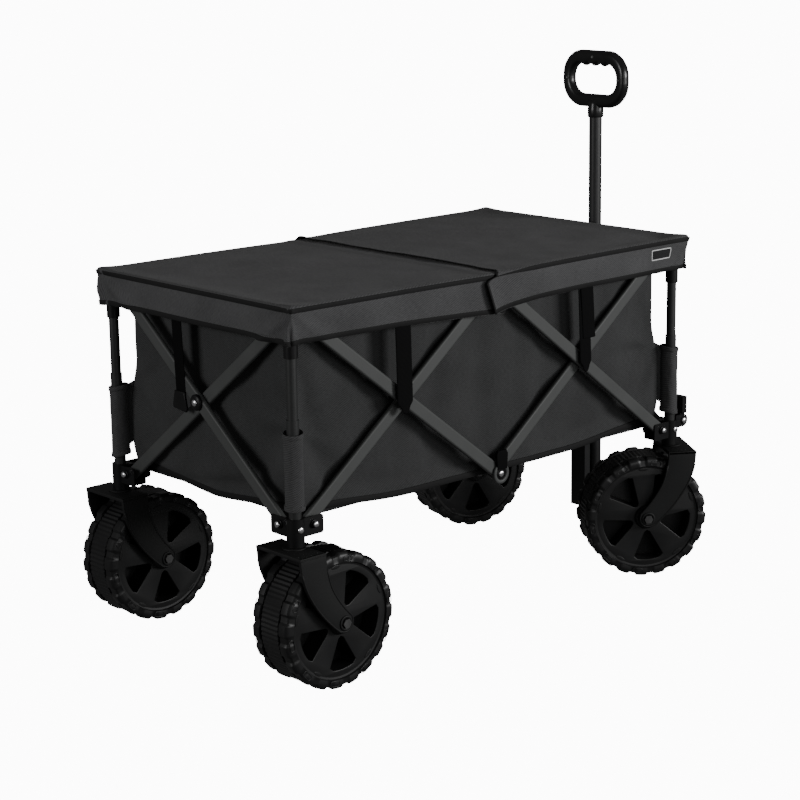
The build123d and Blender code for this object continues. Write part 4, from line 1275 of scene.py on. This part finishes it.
for y, z in ((0, HALF_H - 0.0135), (HALF_W - 0.0165, 0.0), (-HALF_W + 0.0165, 0.0), (0, -HALF_H + 0.0135)):
    screw = lathe("screw", [(0.0034, 0.0), (0.0034, 0.0008), (0.0026, 0.0010), (0.0012, 0.0002),
                            (0.0, 0.0002)], DARK_STEEL, steps=20)
    screw.data.transform(Matrix.Rotation(-math.pi / 2, 4, "Y"))
    shift(screw, hx - half_t + 0.0003, hy + y, ring_z + z)
    screws.append(screw)
grip = join("handle_grip_look", [ring, neck] + screws)
attach(grip, "handle_upper", "grip_plastic", "handle_grip")


# ---- backdrop, light and camera ----------------------------------------------------------------------
def glowing(name, strength):
    material = bpy.data.materials.new(name)
    material.use_nodes = True
    material.node_tree.nodes.clear()
    shine = material.node_tree.nodes.new("ShaderNodeEmission")
    output = material.node_tree.nodes.new("ShaderNodeOutputMaterial")
    shine.inputs["Color"].default_value = (1, 1, 1, 1)
    shine.inputs["Strength"].default_value = strength
    material.node_tree.links.new(shine.outputs["Emission"], output.inputs["Surface"])
    return material


def seen_only(obj):
    """Seen by the camera, but without any effect on the light."""
    obj.visible_diffuse = obj.visible_glossy = obj.visible_transmission = False
    obj.visible_volume_scatter = obj.visible_shadow = False


backdrop = bmesh.new()
bmesh.ops.create_icosphere(backdrop, subdivisions=4, radius=24)
backdrop_mesh = bpy.data.meshes.new("backdrop")
backdrop.to_mesh(backdrop_mesh)
backdrop.free()
backdrop_mesh.materials.append(glowing("backdrop_white", BACKDROP))
surround = scene_object("backdrop", backdrop_mesh)
seen_only(surround)


def area_light(name, place, target, size, power):
    data = bpy.data.lights.new(name, "AREA")
    data.shape = "RECTANGLE"
    data.size, data.size_y = size
    data.energy = power
    light = scene_object(name, data)
    turn = (Vector(target) - Vector(place)).to_track_quat("-Z", "Y").to_matrix().to_4x4()
    light.matrix_world = Matrix.Translation(place) @ turn


# Name, place, target, size and watts.
area_light("top_light", (-0.6, -0.5, 3.4), (0, 0, 0.5), (2.6, 2.6), 2.5)
area_light("key_light", (2.1, -3.7, 1.40), (0, 0, 0.45), (1.5, 1.0), 136)
area_light("right_light", (-0.6, -4.0, 1.2), (0, 0, 0.45), (2.4, 1.4), 34)
area_light("rear_light", (-3.8, 0.4, 1.5), (0, 0, 0.45), (1.4, 1.2), 62)
world = bpy.data.worlds.new("studio")
world.use_nodes = True
world.node_tree.nodes["Background"].inputs["Color"].default_value = (1, 1, 1, 1)
world.node_tree.nodes["Background"].inputs["Strength"].default_value = AMBIENT
bpy.context.scene.world = world

# The camera fitted to the photo's view.
CAMERA_PLACE = (wagon_x - 2.7076, wagon_y - 2.9767, 1.3609)
YAW, PITCH, ROLL = math.radians(47.80), math.radians(-13.48), math.radians(-0.846)
ahead = Vector((math.cos(YAW) * math.cos(PITCH), math.sin(YAW) * math.cos(PITCH), math.sin(PITCH)))
right = ahead.cross(Vector((0, 0, 1))).normalized()
above = right.cross(ahead)
rolled = right * math.cos(ROLL) + above * math.sin(ROLL)
above = above * math.cos(ROLL) - right * math.sin(ROLL)
camera_data = bpy.data.cameras.new("camera")
camera_data.lens = 95.1
camera_data.sensor_width = 36
camera = scene_object("camera", camera_data)
turn = Matrix((rolled, above, -ahead)).transposed().to_4x4()
camera.matrix_world = Matrix.Translation(CAMERA_PLACE) @ turn
bpy.context.scene.camera = camera
